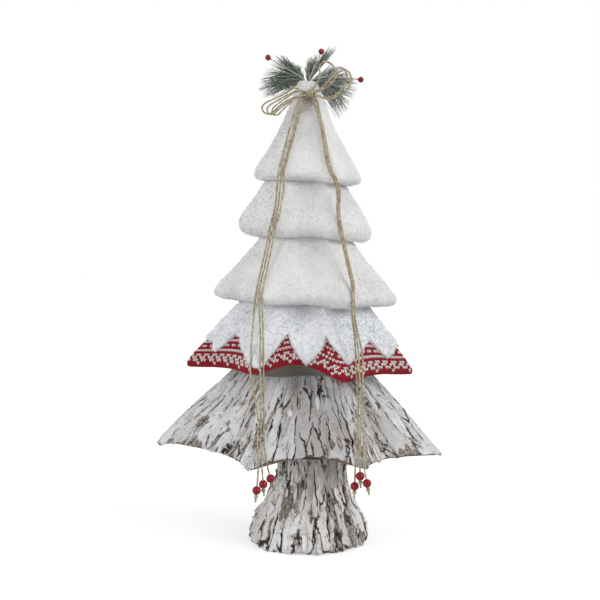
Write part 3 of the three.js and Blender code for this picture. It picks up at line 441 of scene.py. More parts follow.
def hangingStrand(side, number, route, phase):
    lip = lips[side]
    place, shift, drop = lip["ends"][number - 1]
    along = Vector(lip["along"]).normalized()
    pivot = Vector(lip["point"]) + along * place
    beadCentre = pivot + along * shift - Vector((0, 0, drop))
    down = (beadCentre - pivot).normalized()
    halfBead = math.sqrt(beadParts["radius"] ** 2 - beadParts["bore"] ** 2)
    knotCentre = beadCentre + down * (halfBead + twine["knotBelowBead"])
    foot = knotCentre + down * twine["foot"]
    steps = max(8, round((foot - pivot).length / twine["step"]))
    line = curvePoints(route, twine["step"])[:-1] + [pivot.lerp(foot, t) for t in np.linspace(0, 1, steps)]
    rng = random.Random(number + (10 if side == "left" else 20))
    points, faces, uvs = [], [], []
    addPliedStrand(points, faces, uvs, line, phase)
    addStopKnot(points, faces, uvs, knotCentre, down)
    addHairs(points, faces, uvs, line, twine["tailHairs"], rng)
    addHairs(points, faces, uvs, line[-6:], twine["footHairs"], rng, twine["footHairReach"])
    strand = meshPiece(f"twine_{side}_{number}", points, faces, jute, uvs)
    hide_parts(f"twine_tail_{side}_{number}", f"twine_end_{side}_{number}")
    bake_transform(strand)
    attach(strand, "tree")
    bead = beadPiece(f"red_bead_{side}_{number}", beadCentre, down)
    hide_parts(f"bead_{side}_{number}")
    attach(bead, f"{side}_beads")
    print("strand", side, number, round(lineLength(line), 3), "m")


def bowLoop(side, number, route, phase):
    line = curvePoints(route, twine["step"])
    rng = random.Random(number + (30 if side == "left" else 40))
    points, faces, uvs = [], [], []
    addPliedStrand(points, faces, uvs, line, phase)
    addHairs(points, faces, uvs, line, twine["loopHairs"], rng)
    loop = meshPiece(f"bow_{side}_{number}", points, faces, jute, uvs)
    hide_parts(f"bow_loop_{side}_{number}")
    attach(loop, "tree")


for side, routes in (("left", leftTails), ("right", rightTails)):
    for number, route in enumerate(routes, 1):
        hangingStrand(side, number, route, number * twine["tailPhase"])
strandPoints = [p for route in leftTails + rightTails for p in curvePoints(route, twine["pressStep"])]
strandTree = KDTree(len(strandPoints))  # the fleece is pressed in where a strand lies on it
for i, p in enumerate(strandPoints):
    strandTree.insert(p, i)
strandTree.balance()
for side, routes in (("left", leftLoops), ("right", rightLoops)):
    for number, route in enumerate(routes, 1):
        bowLoop(side, number, route, number * twine["loopPhase"])

knotParts = {
    "place": Vector((0.0026, -0.0162, 0.5485)),
    "half": (0.007, 0.0051, 0.006),  # half of its width, depth and height
    "inset": 0.0011,  # from its outside to the middle of a strand
    "wraps": (-0.0026, 0.0, 0.0026),  # where each wrap lies across it
    "wrapPoints": 36,
    "tilt": 0.0011,
    "barLifts": (-0.0022, 0, 0.0022),  # the strands that run through the wraps
    "barDepths": (-0.0012, 0.0012),
    "barHalf": 0.006,
    "barPoints": 10,
}


def bowKnot():
    values = knotParts
    points, faces, uvs = [], [], []
    centre, half = values["place"], values["half"]
    for shift in values["wraps"]:
        share = math.sqrt(1 - (shift / half[0]) ** 2)
        ring = []
        for i in range(values["wrapPoints"] + 1):
            angle = 2 * math.pi * i / values["wrapPoints"] + 0.4
            ring.append(centre + Vector((shift + values["tilt"] * math.sin(angle),
                                         (half[1] - values["inset"]) * share * math.cos(angle),
                                         (half[2] - values["inset"]) * share * math.sin(angle))))
        addPliedStrand(points, faces, uvs, ring, shift * 900)
    for lift in values["barLifts"]:
        for depth in values["barDepths"]:
            bar = []
            for x in np.linspace(-values["barHalf"], values["barHalf"], values["barPoints"]):
                spread = lift * (0.75 + 60 * abs(x))  # wider apart where they leave the knot
                bar.append(centre + Vector((x, depth * math.cos(x * 150), spread)))
            addPliedStrand(points, faces, uvs, bar, lift * 700)
    knot = meshPiece("bow_knot_wraps", points, faces, jute, uvs)
    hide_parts("bow_knot")
    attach(knot, "tree")


bowKnot()
print("twine, beads and bow made")

# Geometry Nodes for what repeats: pile on cloth, and stitches or needles on set places


def newTree(name, sockets):
    tree = bpy.data.node_groups.new(name, "GeometryNodeTree")
    tree.interface.new_socket(name="Geometry", in_out="INPUT", socket_type="NodeSocketGeometry")
    for label, kind in sockets.items():
        tree.interface.new_socket(name=label, in_out="INPUT", socket_type="NodeSocket" + kind)
    tree.interface.new_socket(name="Geometry", in_out="OUTPUT", socket_type="NodeSocketGeometry")
    return tree, addNode(tree, "NodeGroupInput").node.outputs


def closeTree(tree, geometry, material):
    real = addNode(tree, "GeometryNodeRealizeInstances", Geometry=geometry)
    finished = addNode(tree, "GeometryNodeSetMaterial", Geometry=real, Material=material)
    addNode(tree, "NodeGroupOutput", Geometry=finished)


def grown(name, source, tree, values):  # a plain mesh of what the tree grows on the source
    modifier = source.modifiers.new(tree.name, "NODES")
    modifier.node_group = tree
    for item in tree.interface.items_tree:
        if item.item_type == "SOCKET" and item.in_out == "INPUT" and item.name in values:
            modifier[item.identifier] = values[item.name]
    source.update_tag()
    graph = bpy.context.evaluated_depsgraph_get()
    graph.update()
    mesh = bpy.data.meshes.new_from_object(source.evaluated_get(graph), preserve_all_data_layers=True,
                                           depsgraph=graph)
    source.modifiers.remove(modifier)
    mesh.name = name
    piece = bpy.data.objects.new(name, mesh)
    scene.collection.objects.link(piece)
    return piece


def pileTree():  # tufts where the cloth's "outer" attribute is 1, leaning down the slope
    tree, inputs = newTree("pile on cloth", {"Tuft": "Object", "Density": "Float", "Lean": "Float",
                                             "Spread": "Float", "Length": "Float", "Seed": "Int",
                                             "Material": "Material"})
    seed = inputs["Seed"]
    outer = addNode(tree, "GeometryNodeInputNamedAttribute", data_type="FLOAT", Name="outer")
    density = addNode(tree, "Math", outer, inputs["Density"], operation="MULTIPLY")
    roots = addNode(tree, "GeometryNodeDistributePointsOnFaces", Mesh=inputs["Geometry"],
                    Density=density, Seed=seed)
    jitter = addNode(tree, "FunctionNodeRandomValue", data_type="FLOAT_VECTOR",
                     Min=(-1, -1, -1), Max=(1, 1, 1), Seed=seed)
    spread = addNode(tree, "VectorMath", jitter, operation="SCALE", Scale=inputs["Spread"])
    fall = addNode(tree, "Math", inputs["Lean"], -1, operation="MULTIPLY")
    down = addNode(tree, "CombineXYZ", Z=fall)
    leaning = addNode(tree, "VectorMath", roots.node.outputs["Normal"], down, operation="ADD")
    leaning = addNode(tree, "VectorMath", leaning, spread, operation="ADD")
    turn = addNode(tree, "FunctionNodeAlignRotationToVector", axis="Z", Vector=leaning)
    tuft = addNode(tree, "GeometryNodeObjectInfo", Object=inputs["Tuft"], give="Geometry")
    size = addNode(tree, "FunctionNodeRandomValue", data_type="FLOAT", Min=0.6, Max=1.25, Seed=seed)
    size = addNode(tree, "Math", size, inputs["Length"], operation="MULTIPLY")
    tufts = addNode(tree, "GeometryNodeInstanceOnPoints", Points=roots, Instance=tuft, Rotation=turn,
                    Scale=size)
    closeTree(tree, tufts, inputs["Material"])
    return tree


def setPlaceTree():  # one shape on each point, turned and sized by the point's own attributes
    tree, inputs = newTree("shapes on set places", {"Shape": "Object", "Material": "Material"})
    out, along, size = [addNode(tree, "GeometryNodeInputNamedAttribute", data_type="FLOAT_VECTOR", Name=name)
                        for name in ("out", "along", "size")]
    turn = addNode(tree, "FunctionNodeAlignRotationToVector", axis="Z", Vector=out)
    turn = addNode(tree, "FunctionNodeAlignRotationToVector", axis="X", pivot_axis="Z",
                   Rotation=turn, Vector=along)
    shape = addNode(tree, "GeometryNodeObjectInfo", Object=inputs["Shape"], give="Geometry")
    copies = addNode(tree, "GeometryNodeInstanceOnPoints", Points=inputs["Geometry"], Instance=shape,
                     Rotation=turn, Scale=size)
    closeTree(tree, copies, inputs["Material"])
    return tree


pileNodes = pileTree()
placeNodes = setPlaceTree()


def dropObject(*pieces):
    for piece in pieces:
        bpy.data.objects.remove(piece)


# Plush tiers

shell = {"tipKeep": 0.8, "joinAngle": 40, "joinShape": 50, "latticeSize": 64}


def pointsOf(mesh):
    co = np.zeros(len(mesh.vertices) * 3)
    mesh.vertices.foreach_get("co", co)
    return co.reshape(-1, 3)


def pointsAndNormals(piece):
    normal = np.zeros(len(piece.data.vertices) * 3)
    piece.data.vertex_normals.foreach_get("vector", normal)
    return pointsOf(piece.data), normal.reshape(-1, 3)


def mergedCopy(name, nodeName, material):  # of a CAD node, with its loose triangles joined
    source = nodes[nodeName].data
    co = pointsOf(source)
    # corners that agree to a hundredth of a millimetre are one
    keys, index = np.unique(np.round(co * 1e5).astype(np.int64), axis=0, return_inverse=True)
    index = index.ravel()
    points = np.zeros((len(keys), 3))
    points[index] = co
    faces = [tuple(index[v] for v in face.vertices) for face in source.polygons]
    return meshPiece(name, points, [f for f in faces if len(set(f)) == 3], material)


def subdivided(piece, levels):
    modifier = piece.modifiers.new("rounding", "SUBSURF")
    modifier.levels = modifier.render_levels = levels
    graph = bpy.context.evaluated_depsgraph_get()
    graph.update()
    mesh = bpy.data.meshes.new_from_object(piece.evaluated_get(graph), depsgraph=graph)
    piece.modifiers.remove(modifier)
    return mesh


def roundedShell(name, nodeName, material, levels):
    piece = mergedCopy(name, nodeName, material)
    work = bmesh.new()
    work.from_mesh(piece.data)
    bmesh.ops.join_triangles(work, faces=work.faces,
                             angle_face_threshold=math.radians(shell["joinAngle"]),
                             angle_shape_threshold=math.radians(shell["joinShape"]))
    work.to_mesh(piece.data)
    work.free()
    smooth = subdivided(piece, levels)
    corners = pointsOf(piece.data)
    corners += (corners - pointsOf(smooth)[:len(corners)]) * shell["tipKeep"]  # or the tips come out short
    piece.data.vertices.foreach_set("co", corners.ravel())
    mesh = subdivided(piece, levels)
    piece.data = mesh
    mesh.name = name
    mesh.polygons.foreach_set("use_smooth", [True] * len(mesh.polygons))
    return piece


def solidNoise(co, wave, seed):  # smooth noise in space, from -1 to 1, a wave long from knot to knot
    size = shell["latticeSize"]
    lattice = np.random.default_rng(seed).random((size,) * 3)
    x = np.asarray(co) / np.asarray(wave) + 0.37 * seed
    base = np.floor(x).astype(int)
    f = x - base
    f = f * f * (3 - 2 * f)
    total = np.zeros(len(x))
    for dx, dy, dz in np.ndindex(2, 2, 2):
        weight = f[:, 0] if dx else 1 - f[:, 0]
        weight = weight * (f[:, 1] if dy else 1 - f[:, 1])
        weight = weight * (f[:, 2] if dz else 1 - f[:, 2])
        i, j, k = ((base + (dx, dy, dz)) % size).T
        total += weight * lattice[i, j, k]
    return total * 2 - 1


def clothLift(co, values):  # how far a cloth's swell, folds, lumps and grain stand out, in metres
    total = values["swell"]
    for step, (height, wave) in enumerate(values["lifts"]):
        total = total + height * solidNoise(co, wave, values["seed"] + step)
    return total


def softCover(name, nodeName, material, values):
    piece = roundedShell(name, nodeName, material, values["levels"])
    co, normal = pointsAndNormals(piece)
    radial = co * (1, 1, 0)
    radial /= np.maximum(np.linalg.norm(radial, axis=1, keepdims=True), 1e-6)
    facing = (normal * radial).sum(1)
    outer = np.clip((facing + 0.25) / 0.2, 0, 1)  # 0 where the cover looks inwards
    co = co + normal * (clothLift(co, values) * outer)[:, None]
    piece.data.vertices.foreach_set("co", co.ravel())
    setAttribute(piece, "outer", (outer > 0.5).astype(float))
    piece.data.update()
    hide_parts(nodeName)
    return piece


def clothMaterial(name, values):  # woven polyester pile, brushed: soft and pale, matt, with a faint bloom
    material, tree, shader = newMaterial(name, {"Roughness": 0.95, "Specular IOR Level": 0.15,
                                                "Sheen Weight": values["sheen"], "Sheen Roughness": 0.5})
    place = addNode(tree, "TexCoord", give="Object")
    place = addNode(tree, "Mapping", Vector=place, Scale=(1, 1, 0.55))
    broad = addNode(tree, "TexNoise", Vector=place, Scale=perMetre(values["patch"]), Detail=4, Roughness=0.55)
    # pile fibres are 0.02 mm thick and are drawn at 0.7 mm, so that they show
    fibre = addNode(tree, "TexNoise", Vector=place, Scale=perMetre(0.7), Detail=3, Roughness=0.7)
    tuft = addNode(tree, "TexNoise", Vector=place, Scale=perMetre(2.4), Detail=4, Roughness=0.65)
    white = addNode(tree, "ValToRGB", broad, stops=values["whites"])
    shade = addNode(tree, "ValToRGB", fibre, stops=[(0.3, "#F0F0F2"), (0.6, "#FFFFFF")])
    colour = addNode(tree, "Mix", data_type="RGBA", blend_type="MULTIPLY", Factor=0.7, A=white, B=shade)
    normal = addNode(tree, "Bump", Height=tuft, Strength=values["bump"], Distance=0.0012)
    normal = addNode(tree, "Bump", Height=fibre, Strength=values["bump"], Distance=0.0005, Normal=normal)
    tree.links.new(colour, shader.inputs["Base Color"])
    tree.links.new(normal, shader.inputs["Normal"])
    return material


plushParts = {
    "levels": 3,  # of rounding
    "swell": 0.0006,
    "lifts": [(0.0012, (0.03, 0.03, 0.055)), (0.0006, 0.011), (0.0003, 0.0035)],  # each height and wave
    "slot": "plush",
    "density": 150000,  # tufts on a square metre, each as thick as a hundred real ones, so that they show
    "lean": 2.2,  # how far they lie down
    "spread": 0.35,
    "length": 0.0027,
    "whites": [(0.3, "#DCDCDC"), (0.5, "#E6E6E5"), (0.7, "#EDEDEC")],
    "sheen": 0.15,
    "patch": 33,  # millimetres from tone to tone
    "bump": 0.2,
    "cut": {1: ((0.34, 0.14), 0.027), 2: ((0.43, 0.09), 0.032), 3: ((0.56, 0.11), 0.05)},  # top tier first
}
plushCloth = clothMaterial("short off-white plush", plushParts)

tuftParts = {"blades": 4, "width": 0.07, "root": 0.15}  # shares of the tuft's length


def tuftShape(seed):  # a few tapered blades from one root, about 1 long before they are sized
    rng = random.Random(seed)
    width = tuftParts["width"]
    points, faces = [], []
    for _ in range(tuftParts["blades"]):
        lean = Vector((rng.uniform(-0.5, 0.5), rng.uniform(-0.5, 0.5), 1)).normalized()
        root = Vector((rng.uniform(-1, 1), rng.uniform(-1, 1), 0)) * width * 2
        root = root - Vector((0, 0, tuftParts["root"]))
        across = lean.orthogonal().normalized() * width
        over = lean.cross(across)
        first = len(points)
        points.extend([root + across, root - across * 0.5 + over * 0.87, root - across * 0.5 - over * 0.87])
        points.append(root + lean * rng.uniform(0.7, 1.1))
        for corners in ((0, 1, 3), (1, 2, 3), (2, 0, 3), (2, 1, 0)):
            faces.append(tuple(first + c for c in corners))
    return meshPiece("tuft", points, faces, plushCloth, smooth=False)


def addPile(name, cloth, material, values):
    tuft = tuftShape(values["seed"])
    pile = grown(name, cloth, pileNodes, {"Tuft": tuft, "Density": values["density"], "Lean": values["lean"],
                                          "Spread": values["spread"], "Length": values["length"],
                                          "Seed": values["seed"], "Material": material})
    dropObject(tuft)
    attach(pile, "tree")
    print(name, len(pile.data.polygons), "faces")
    return pile


for number, (flat, area) in plushParts["cut"].items():
    values = dict(plushParts, seed=number)
    cover = softCover(f"plush_tier_{number}", f"plush_cover_{number}", plushCloth, values)
    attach(cover, "tree")
    pile = addPile(f"plush_pile_{number}", cover, plushCloth, values)
print("plush made")

# The knitted cover and the snow on it


def woolMaterial():  # brushed wool yarn: matt, fuzzy, two colours of stitches, and dark felt on the underside that is partly painted shade
    material, tree, shader = newMaterial("red and cream wool yarn", {"Roughness": 0.92, "Sheen Weight": 0.2,
                                                                     "Specular IOR Level": 0.15})
    place = addNode(tree, "TexCoord", give="Object")
    # wool fibres are 0.03 mm thick and are drawn at 0.55 mm, so that they show
    fibre = addNode(tree, "TexNoise", Vector=place, Scale=perMetre(0.55), Detail=4, Roughness=0.7)
    red = addNode(tree, "ValToRGB", fibre, stops=[(0.3, "#7E0C1E"), (0.55, "#A51329"), (0.75, "#B92437")])
    cream = addNode(tree, "ValToRGB", fibre, stops=[(0.3, "#C9C0BC"), (0.55, "#E2DCD8"), (0.75, "#EFEBE7")])
    # dark felt where the cover faces down: partly the felt's own colour, partly painted shade under the hem
    feltWithShade = addNode(tree, "ValToRGB", fibre, stops=[(0.3, "#4F483F"), (0.55, "#6C645A"), (0.75, "#8B8378")])
    isCream = addNode(tree, "Attribute", attribute_name="cream", give="Fac")
    isShadedFelt = addNode(tree, "Attribute", attribute_name="shadedFelt", give="Fac")
    yarn = addNode(tree, "Mix", data_type="RGBA", Factor=isCream, A=red, B=cream)
    colour = addNode(tree, "Mix", data_type="RGBA", Factor=isShadedFelt, A=yarn, B=feltWithShade)
    normal = addNode(tree, "Bump", Height=fibre, Strength=0.6, Distance=0.0004)
    tree.links.new(colour, shader.inputs["Base Color"])
    tree.links.new(normal, shader.inputs["Normal"])
    return material


wool = woolMaterial()

wallScan = {
    "reach": 0.32,  # rays go in towards the middle from here
    "core": 0.03,  # and end here
    "margin": 0.0005,
    "step": 0.0008,
    "stray": 0.012,  # a line that differs more than this from its neighbours follows them
    "midLift": 0.006,
}


def surfaceOf(meshes):
    points, faces = [], []
    for mesh in meshes:
        first = len(points)
        points.extend(v.co.copy() for v in mesh.vertices)
        faces.extend([first + v for v in face.vertices] for face in mesh.polygons)
    return BVHTree.FromPolygons(points, faces)


def radiusAt(surface, angle, z):
    away = Vector((math.cos(angle), math.sin(angle), 0))
    start = away * wallScan["reach"] + Vector((0, 0, z))
    hit = surface.ray_cast(start, -away, wallScan["reach"] - wallScan["core"])[0]
    return np.nan if hit is None else math.hypot(hit.x, hit.y)


def wallGrid(meshes, columns, rows):  # the outside of a tier as columns of points, evenly spaced round it
    surface = surfaceOf(meshes)
    low = min(pointsOf(mesh)[:, 2].min() for mesh in meshes)
    high = max(pointsOf(mesh)[:, 2].max() for mesh in meshes) - wallScan["margin"]
    fineCount = columns * 3
    fineAngles = (np.arange(fineCount) + 0.5) * 2 * math.pi / fineCount + math.pi / 2
    middle = np.array([radiusAt(surface, a, (low + high) / 2 + wallScan["midLift"]) for a in fineAngles])
    gaps = np.isnan(middle)
    middle[gaps] = np.interp(np.flatnonzero(gaps), np.flatnonzero(~gaps), middle[~gaps])
    ring = np.stack([middle * np.cos(fineAngles), middle * np.sin(fineAngles)], 1)
    steps = np.linalg.norm(np.roll(ring, -1, 0) - ring, axis=1)
    travelled = np.concatenate([[0], np.cumsum(steps)])
    around = travelled[-1]
    places = np.arange(columns) * around / columns
    angles = np.interp(places, travelled, np.append(fineAngles, fineAngles[0] + 2 * math.pi))
    scan = np.arange(low + wallScan["margin"], high, wallScan["step"])
    radii = np.full((columns, rows), np.nan)
    heights = np.zeros((columns, rows))
    for i, angle in enumerate(angles):
        hits = np.array([radiusAt(surface, angle, z) for z in scan])
        good = ~np.isnan(hits)
        if good.sum() < 5:
            continue
        heights[i] = np.linspace(scan[good][0], scan[good][-1], rows)
        radii[i] = np.interp(heights[i], scan[good], hits[good])
    bad = np.isnan(radii[:, 0])
    for j in range(rows):
        radii[bad, j] = np.interp(np.flatnonzero(bad), np.flatnonzero(~bad), radii[~bad, j])
        heights[bad, j] = np.interp(np.flatnonzero(bad), np.flatnonzero(~bad), heights[~bad, j])
    for field in (radii, heights):
        middle = np.median([np.roll(field, k, 0) for k in (-2, -1, 0, 1, 2)], 0)
        field[:] = np.where(np.abs(field - middle) > wallScan["stray"], middle, field)
        field[:] = 0.25 * np.roll(field, 1, 0) + 0.5 * field + 0.25 * np.roll(field, -1, 0)
    points = np.stack([radii * np.cos(angles)[:, None], radii * np.sin(angles)[:, None], heights], 2)
    return points, around


def gridNormals(points, softening=0):
    across = np.roll(points, -1, 0) - np.roll(points, 1, 0)
    along = np.gradient(points, axis=1)
    normal = np.cross(across, along)
    normal /= np.maximum(np.linalg.norm(normal, axis=2, keepdims=True), 1e-9)
    for _ in range(softening):
        normal = normal + np.roll(normal, 1, 0) + np.roll(normal, -1, 0)
        normal /= np.linalg.norm(normal, axis=2, keepdims=True)
    return normal


def alongWall(line):
    return np.concatenate([[0], np.cumsum(np.linalg.norm(np.diff(line, axis=0), axis=1))])


def ringFaces(columns, rows, backs):  # of a wall that closes on itself, with fewer points up its back
    faces = []
    for i in range(columns):
        k = (i + 1) % columns
        here, there = i * rows, k * rows
        hereBack, thereBack = columns * rows + i * backs, columns * rows + k * backs
        faces.extend((here + j, there + j, there + j + 1, here + j + 1) for j in range(rows - 1))
        for j in range(backs - 1):
            faces.append((thereBack + j, hereBack + j, hereBack + j + 1, thereBack + j + 1))
        faces.append((there, here, hereBack, thereBack))
        faces.append((here + rows - 1, there + rows - 1, thereBack + backs - 1, hereBack + backs - 1))
    return faces


knitGroundParts = {
    "levels": 2,
    "swell": -0.0002,
    "lifts": [(0.0005, 0.03), (0.0002, 0.01)],
    "slot": "knit",
    "seed": 20,
}
knitGround = softCover("knit_ground", "knit_cover", wool, knitGroundParts)
faceDown = -pointsAndNormals(knitGround)[1][:, 2]
setAttribute(knitGround, "shadedFelt", np.clip(faceDown * 5 - 1.6, 0, 1))  # the felt under the hem, its dark colour partly painted shade where the cover faces down
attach(knitGround, "tree")

slopeRows = 70  # points up each column of the knit's slope
snowParts = {
    "columns": 440,
    "rows": 34,
    "edgeRows": 9,  # of them, on the rounded edge
    "innerRows": 3,
    "markRow": 30,  # the row of the slope on which the turns are read
    "raggedRow": 20,
    "thickness": 0.0046,
    "standOff": 0.0006,
    "edge": 0.0055,
    "top": 0.96,
    "strandNear": 0.009,  # how far a strand reaches the fleece that it lies on
    "strandHalf": 0.0016,
    "strandSlope": 0.9,
    "strandGap": 0.0017,
    "strandBare": 0.0026,  # no pile grows so near to a strand
    "ragged": 0.016,
    # how far down the slope the snow comes at each turn in degrees, at its drips and at the knit's peaks
    "reach": [
        (0, 0.7), (9, 0.82), (16, 0.56), (37, 0.86), (50, 0.5), (66, 0.92), (84, 0.5), (97, 0.96),
        (111, 0.5), (126, 0.92), (143, 0.5), (163, 0.84), (170, 0.58), (177, 0.62), (184, 0.7),
        (191, 0.86), (197, 0.59), (237, 0.98), (247, 0.56), (268, 1.0), (289, 0.54), (300, 0.85),
        (343, 0.6), (348, 0.84), (358, 0.7), (360, 0.7),
    ],
    "swell": 0,
    "lifts": [(0.0013, 0.009), (0.0009, 0.024), (0.0005, 0.003)],
    "slot": "snow",
    "density": 240000,  # tufts on a square metre, coarser than real ones, so that they show
    "lean": 0.9,
    "spread": 0.5,
    "length": 0.003,
    "seed": 9,
    "whites": [(0.3, "#E0E2E6"), (0.5, "#EBEDF0"), (0.7, "#F3F4F6")],
    "sheen": 0.2,
    "patch": 17,
    "bump": 0.3,
}
snowFleece = clothMaterial("fluffy white snow fleece", snowParts)


def snowReach(grid):
    mark = grid[:, snowParts["markRow"]]
    turns = np.degrees(np.arctan2(mark[:, 1], mark[:, 0])) % 360
    order = np.argsort(turns)
    marks = snowParts["reach"]
    spots = np.interp([turn for turn, _ in marks], turns[order], np.arange(len(grid)))
    spots[0], spots[-1] = 0, len(grid)
    reach = np.empty(len(grid))
    for place, column in enumerate(order):
        k = min(int(np.searchsorted(spots, place, "right")) - 1, len(marks) - 2)
        here, there = marks[k][1], marks[k + 1][1]
        share = (place - spots[k]) / max(spots[k + 1] - spots[k], 1e-6)
        share = share if there > here else 1 - share
        rise = 0.7 * share + 0.3 * math.sin(share * math.pi / 2)  # almost straight, round at a drip's end
        reach[column] = min(here, there) + abs(there - here) * rise
    return reach


hemEdge = {"smoothing": 60, "drop": 0.0012}  # smoothed over a sixtieth of the round to each side


def hemStarts(grid):  # how far along each column of the slope its hem's edge lies
    heights = np.array([line[np.argmax(np.hypot(line[:, 0], line[:, 1])), 2] for line in grid])
    reach = len(grid) // hemEdge["smoothing"]
    for _ in range(2):
        heights = np.mean([np.roll(heights, k) for k in range(-reach, reach + 1)], 0)
    heights = heights - hemEdge["drop"]
    return np.array([np.interp(height, line[:, 2], alongWall(line)) for line, height in zip(grid, heights)])


def pressUnderStrands(flat, outward):  # also says where the pile may grow
    grows = np.ones(len(flat))
    for i, (point, out) in enumerate(zip(flat, outward)):
        place, _, distance = strandTree.find(point)
        if distance < snowParts["strandNear"]:
            away = Vector(point) - place
            depth = away.dot(Vector(out))
            beside = math.sqrt(max(0, distance ** 2 - depth ** 2))
            slope = max(0, beside - snowParts["strandHalf"]) * snowParts["strandSlope"]
            over = depth - (slope - snowParts["strandGap"])
            if over > 0:
                flat[i] = point - out * over
            grows[i] = float(beside > snowParts["strandBare"])
    return grows


def snowFleecePiece():
    values = snowParts
    grid = wallGrid([knitGround.data], values["columns"], slopeRows)[0]
    normals = gridNormals(grid, 2)
    rows, spare, count = values["rows"], values["innerRows"], len(grid)
    outer, inner = np.zeros((count, rows, 3)), np.zeros((count, spare, 3))
    hems, reach = hemStarts(grid), snowReach(grid)
    line = grid[:, values["raggedRow"]]
    broad = solidNoise(line, 0.014, 4) * values["ragged"] * 1.5
    ragged = solidNoise(line, 0.006, 3) * values["ragged"] + broad
    for i, (line, out) in enumerate(zip(grid, normals)):
        steps = alongWall(line)
        end = steps[-1] * values["top"]
        start = steps[-1] - (steps[-1] - hems[i]) * min(reach[i] + ragged[i], 1)
        near = values["edge"] * (1 - np.cos(np.linspace(0, math.pi / 2, values["edgeRows"])))
        far = np.linspace(values["edge"], end - start, rows - values["edgeRows"] + 1)[1:]
        away = np.concatenate([near, far])
        roundEdge = np.sqrt(1 - (1 - np.minimum(away / values["edge"], 1)) ** 2)
        lifts = values["thickness"] * roundEdge + values["standOff"]
        backs = np.array([0.0015, (end - start) / 2, end - start])
        backLifts = np.full(spare, values["standOff"] * 0.5)
        for target, places, lift in ((outer, away, lifts), (inner, backs, backLifts)):
            for axis in range(3):
                base = np.interp(start + places, steps, line[:, axis])
                target[i, :, axis] = base + lift * np.interp(start + places, steps, out[:, axis])
    flat = outer.reshape(-1, 3)
    fade = np.tile(np.linspace(0, 1, rows) > 0.05, count).astype(float) * 0.7 + 0.3
    outward = np.stack([outer[:, :, 0], outer[:, :, 1], np.full(outer.shape[:2], 0.09)], 2).reshape(-1, 3)
    outward /= np.linalg.norm(outward, axis=1, keepdims=True)
    flat = flat + outward * (clothLift(flat, values) * fade)[:, None]
    grows = pressUnderStrands(flat, outward)
    points = np.concatenate([flat, inner.reshape(-1, 3)])
    piece = meshPiece("snow_fleece", points, ringFaces(count, rows, spare), snowFleece)
    setAttribute(piece, "outer", np.concatenate([grows, np.zeros(count * spare)]))
    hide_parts("snow_drape")
    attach(piece, "tree")
    return piece


snow = snowFleecePiece()
snowPile = addPile("snow_pile", snow, snowFleece, snowParts)
print("snow made")

knitParts = {  # a stitch is about twice as large as a real one, so that it shows
    "columns": 168,
    "row": 0.0037,
    "rows": 19,
    "stitchWidth": 0.0048,
    "underSnow": 0.006,  # how far the stitches go on under the snow
    "lowest": 0.0005,
    # half of a stitch, from its foot to its shoulder, in millimetres, and the yarn's radius in metres
    "leg": ((0.42, -2.0, 0.1), (0.7, -0.8, 0.7), (1.25, 0.65, 0.8), (1.8, 1.8, 0.1)),
    "legRadii": [0.00056, 0.0009, 0.00098, 0.00066],
    "sides": 6,
}
knitChart = [  # the rows from the hem up: a dot is a red stitch, a hash sign a cream one
    "..#.....#...",
    "##.##.##.##.",
    "#.##.##.##.#",
    "##.##.##.##.",
    "............",
    "############",
    "............",
    "#.##.##.##.#",
    "............",
    "############",
    "............",
    "#.#.#.#.#.#.",
    "............",
    "############",
    "............",
    "#.#.#.#.#.#.",
    "............",
    "............",
    "............",
]


def stitchShape():
    points, faces, uvs = [], [], []
    for hand in (-1, 1):
        leg = [Vector((hand * x, y, z)) * 0.001 for x, y, z in knitParts["leg"]]
        addTube(points, faces, uvs, leg, knitParts["legRadii"], knitParts["sides"])
    return meshPiece("stitch", points, faces, wool)


def readLine(line, steps, at):  # the point, or the direction, that lies so far along a line
    return Vector([np.interp(at, steps, line[:, k]) for k in range(3)])


def knitRows():
    grid = wallGrid([knitGround.data], knitParts["columns"], slopeRows)[0]
    halves = {"front": [], "back": []}
    normals, hems, reach = gridNormals(grid), hemStarts(grid), snowReach(grid)
    for i, (column, lineNormals) in enumerate(zip(grid, normals)):
        steps = alongWall(column)
        bare = steps[-1] - (steps[-1] - hems[i]) * reach[i] + knitParts["underSnow"]
        for row in range(-1, knitParts["rows"]):
            at = max(hems[i] + (row + 0.5) * knitParts["row"], knitParts["lowest"])
            if at > bare:
                break
            place = readLine(column, steps, at)
            along = readLine(grid[(i + 1) % len(grid)], steps, at) - place
            size = (along.length / knitParts["stitchWidth"], 1.0, 1.0)
            chart = knitChart[row] if row >= 0 else "."
            cream = float(chart[i % len(chart)] == "#")
            out = readLine(lineNormals, steps, at).normalized()
            halves["front" if place.y < 0 else "back"].append({
                "place": place, "out": tuple(out), "along": tuple(along.normalized()), "size": size,
                "cream": cream})
    return halves


def knitPiece(half, stitches, stitch):
    seeds = meshPiece("stitch_places", [s["place"] for s in stitches], [], wool)
    for name in ("out", "along", "size"):
        setAttribute(seeds, name, [s[name] for s in stitches], "FLOAT_VECTOR")
    setAttribute(seeds, "cream", [s["cream"] for s in stitches])
    rows = grown(f"knit_stitches_{half}", seeds, placeNodes, {"Shape": stitch, "Material": wool})
    dropObject(seeds)
    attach(rows, "tree")
    print("knit", half, len(stitches), "stitches,", len(rows.data.polygons), "faces")
    return rows


stitch = stitchShape()
stitchPieces = [knitPiece(half, stitches, stitch) for half, stitches in knitRows().items()]
dropObject(stitch)
print("knit made")

# Birch bark: the skirt and the trunk

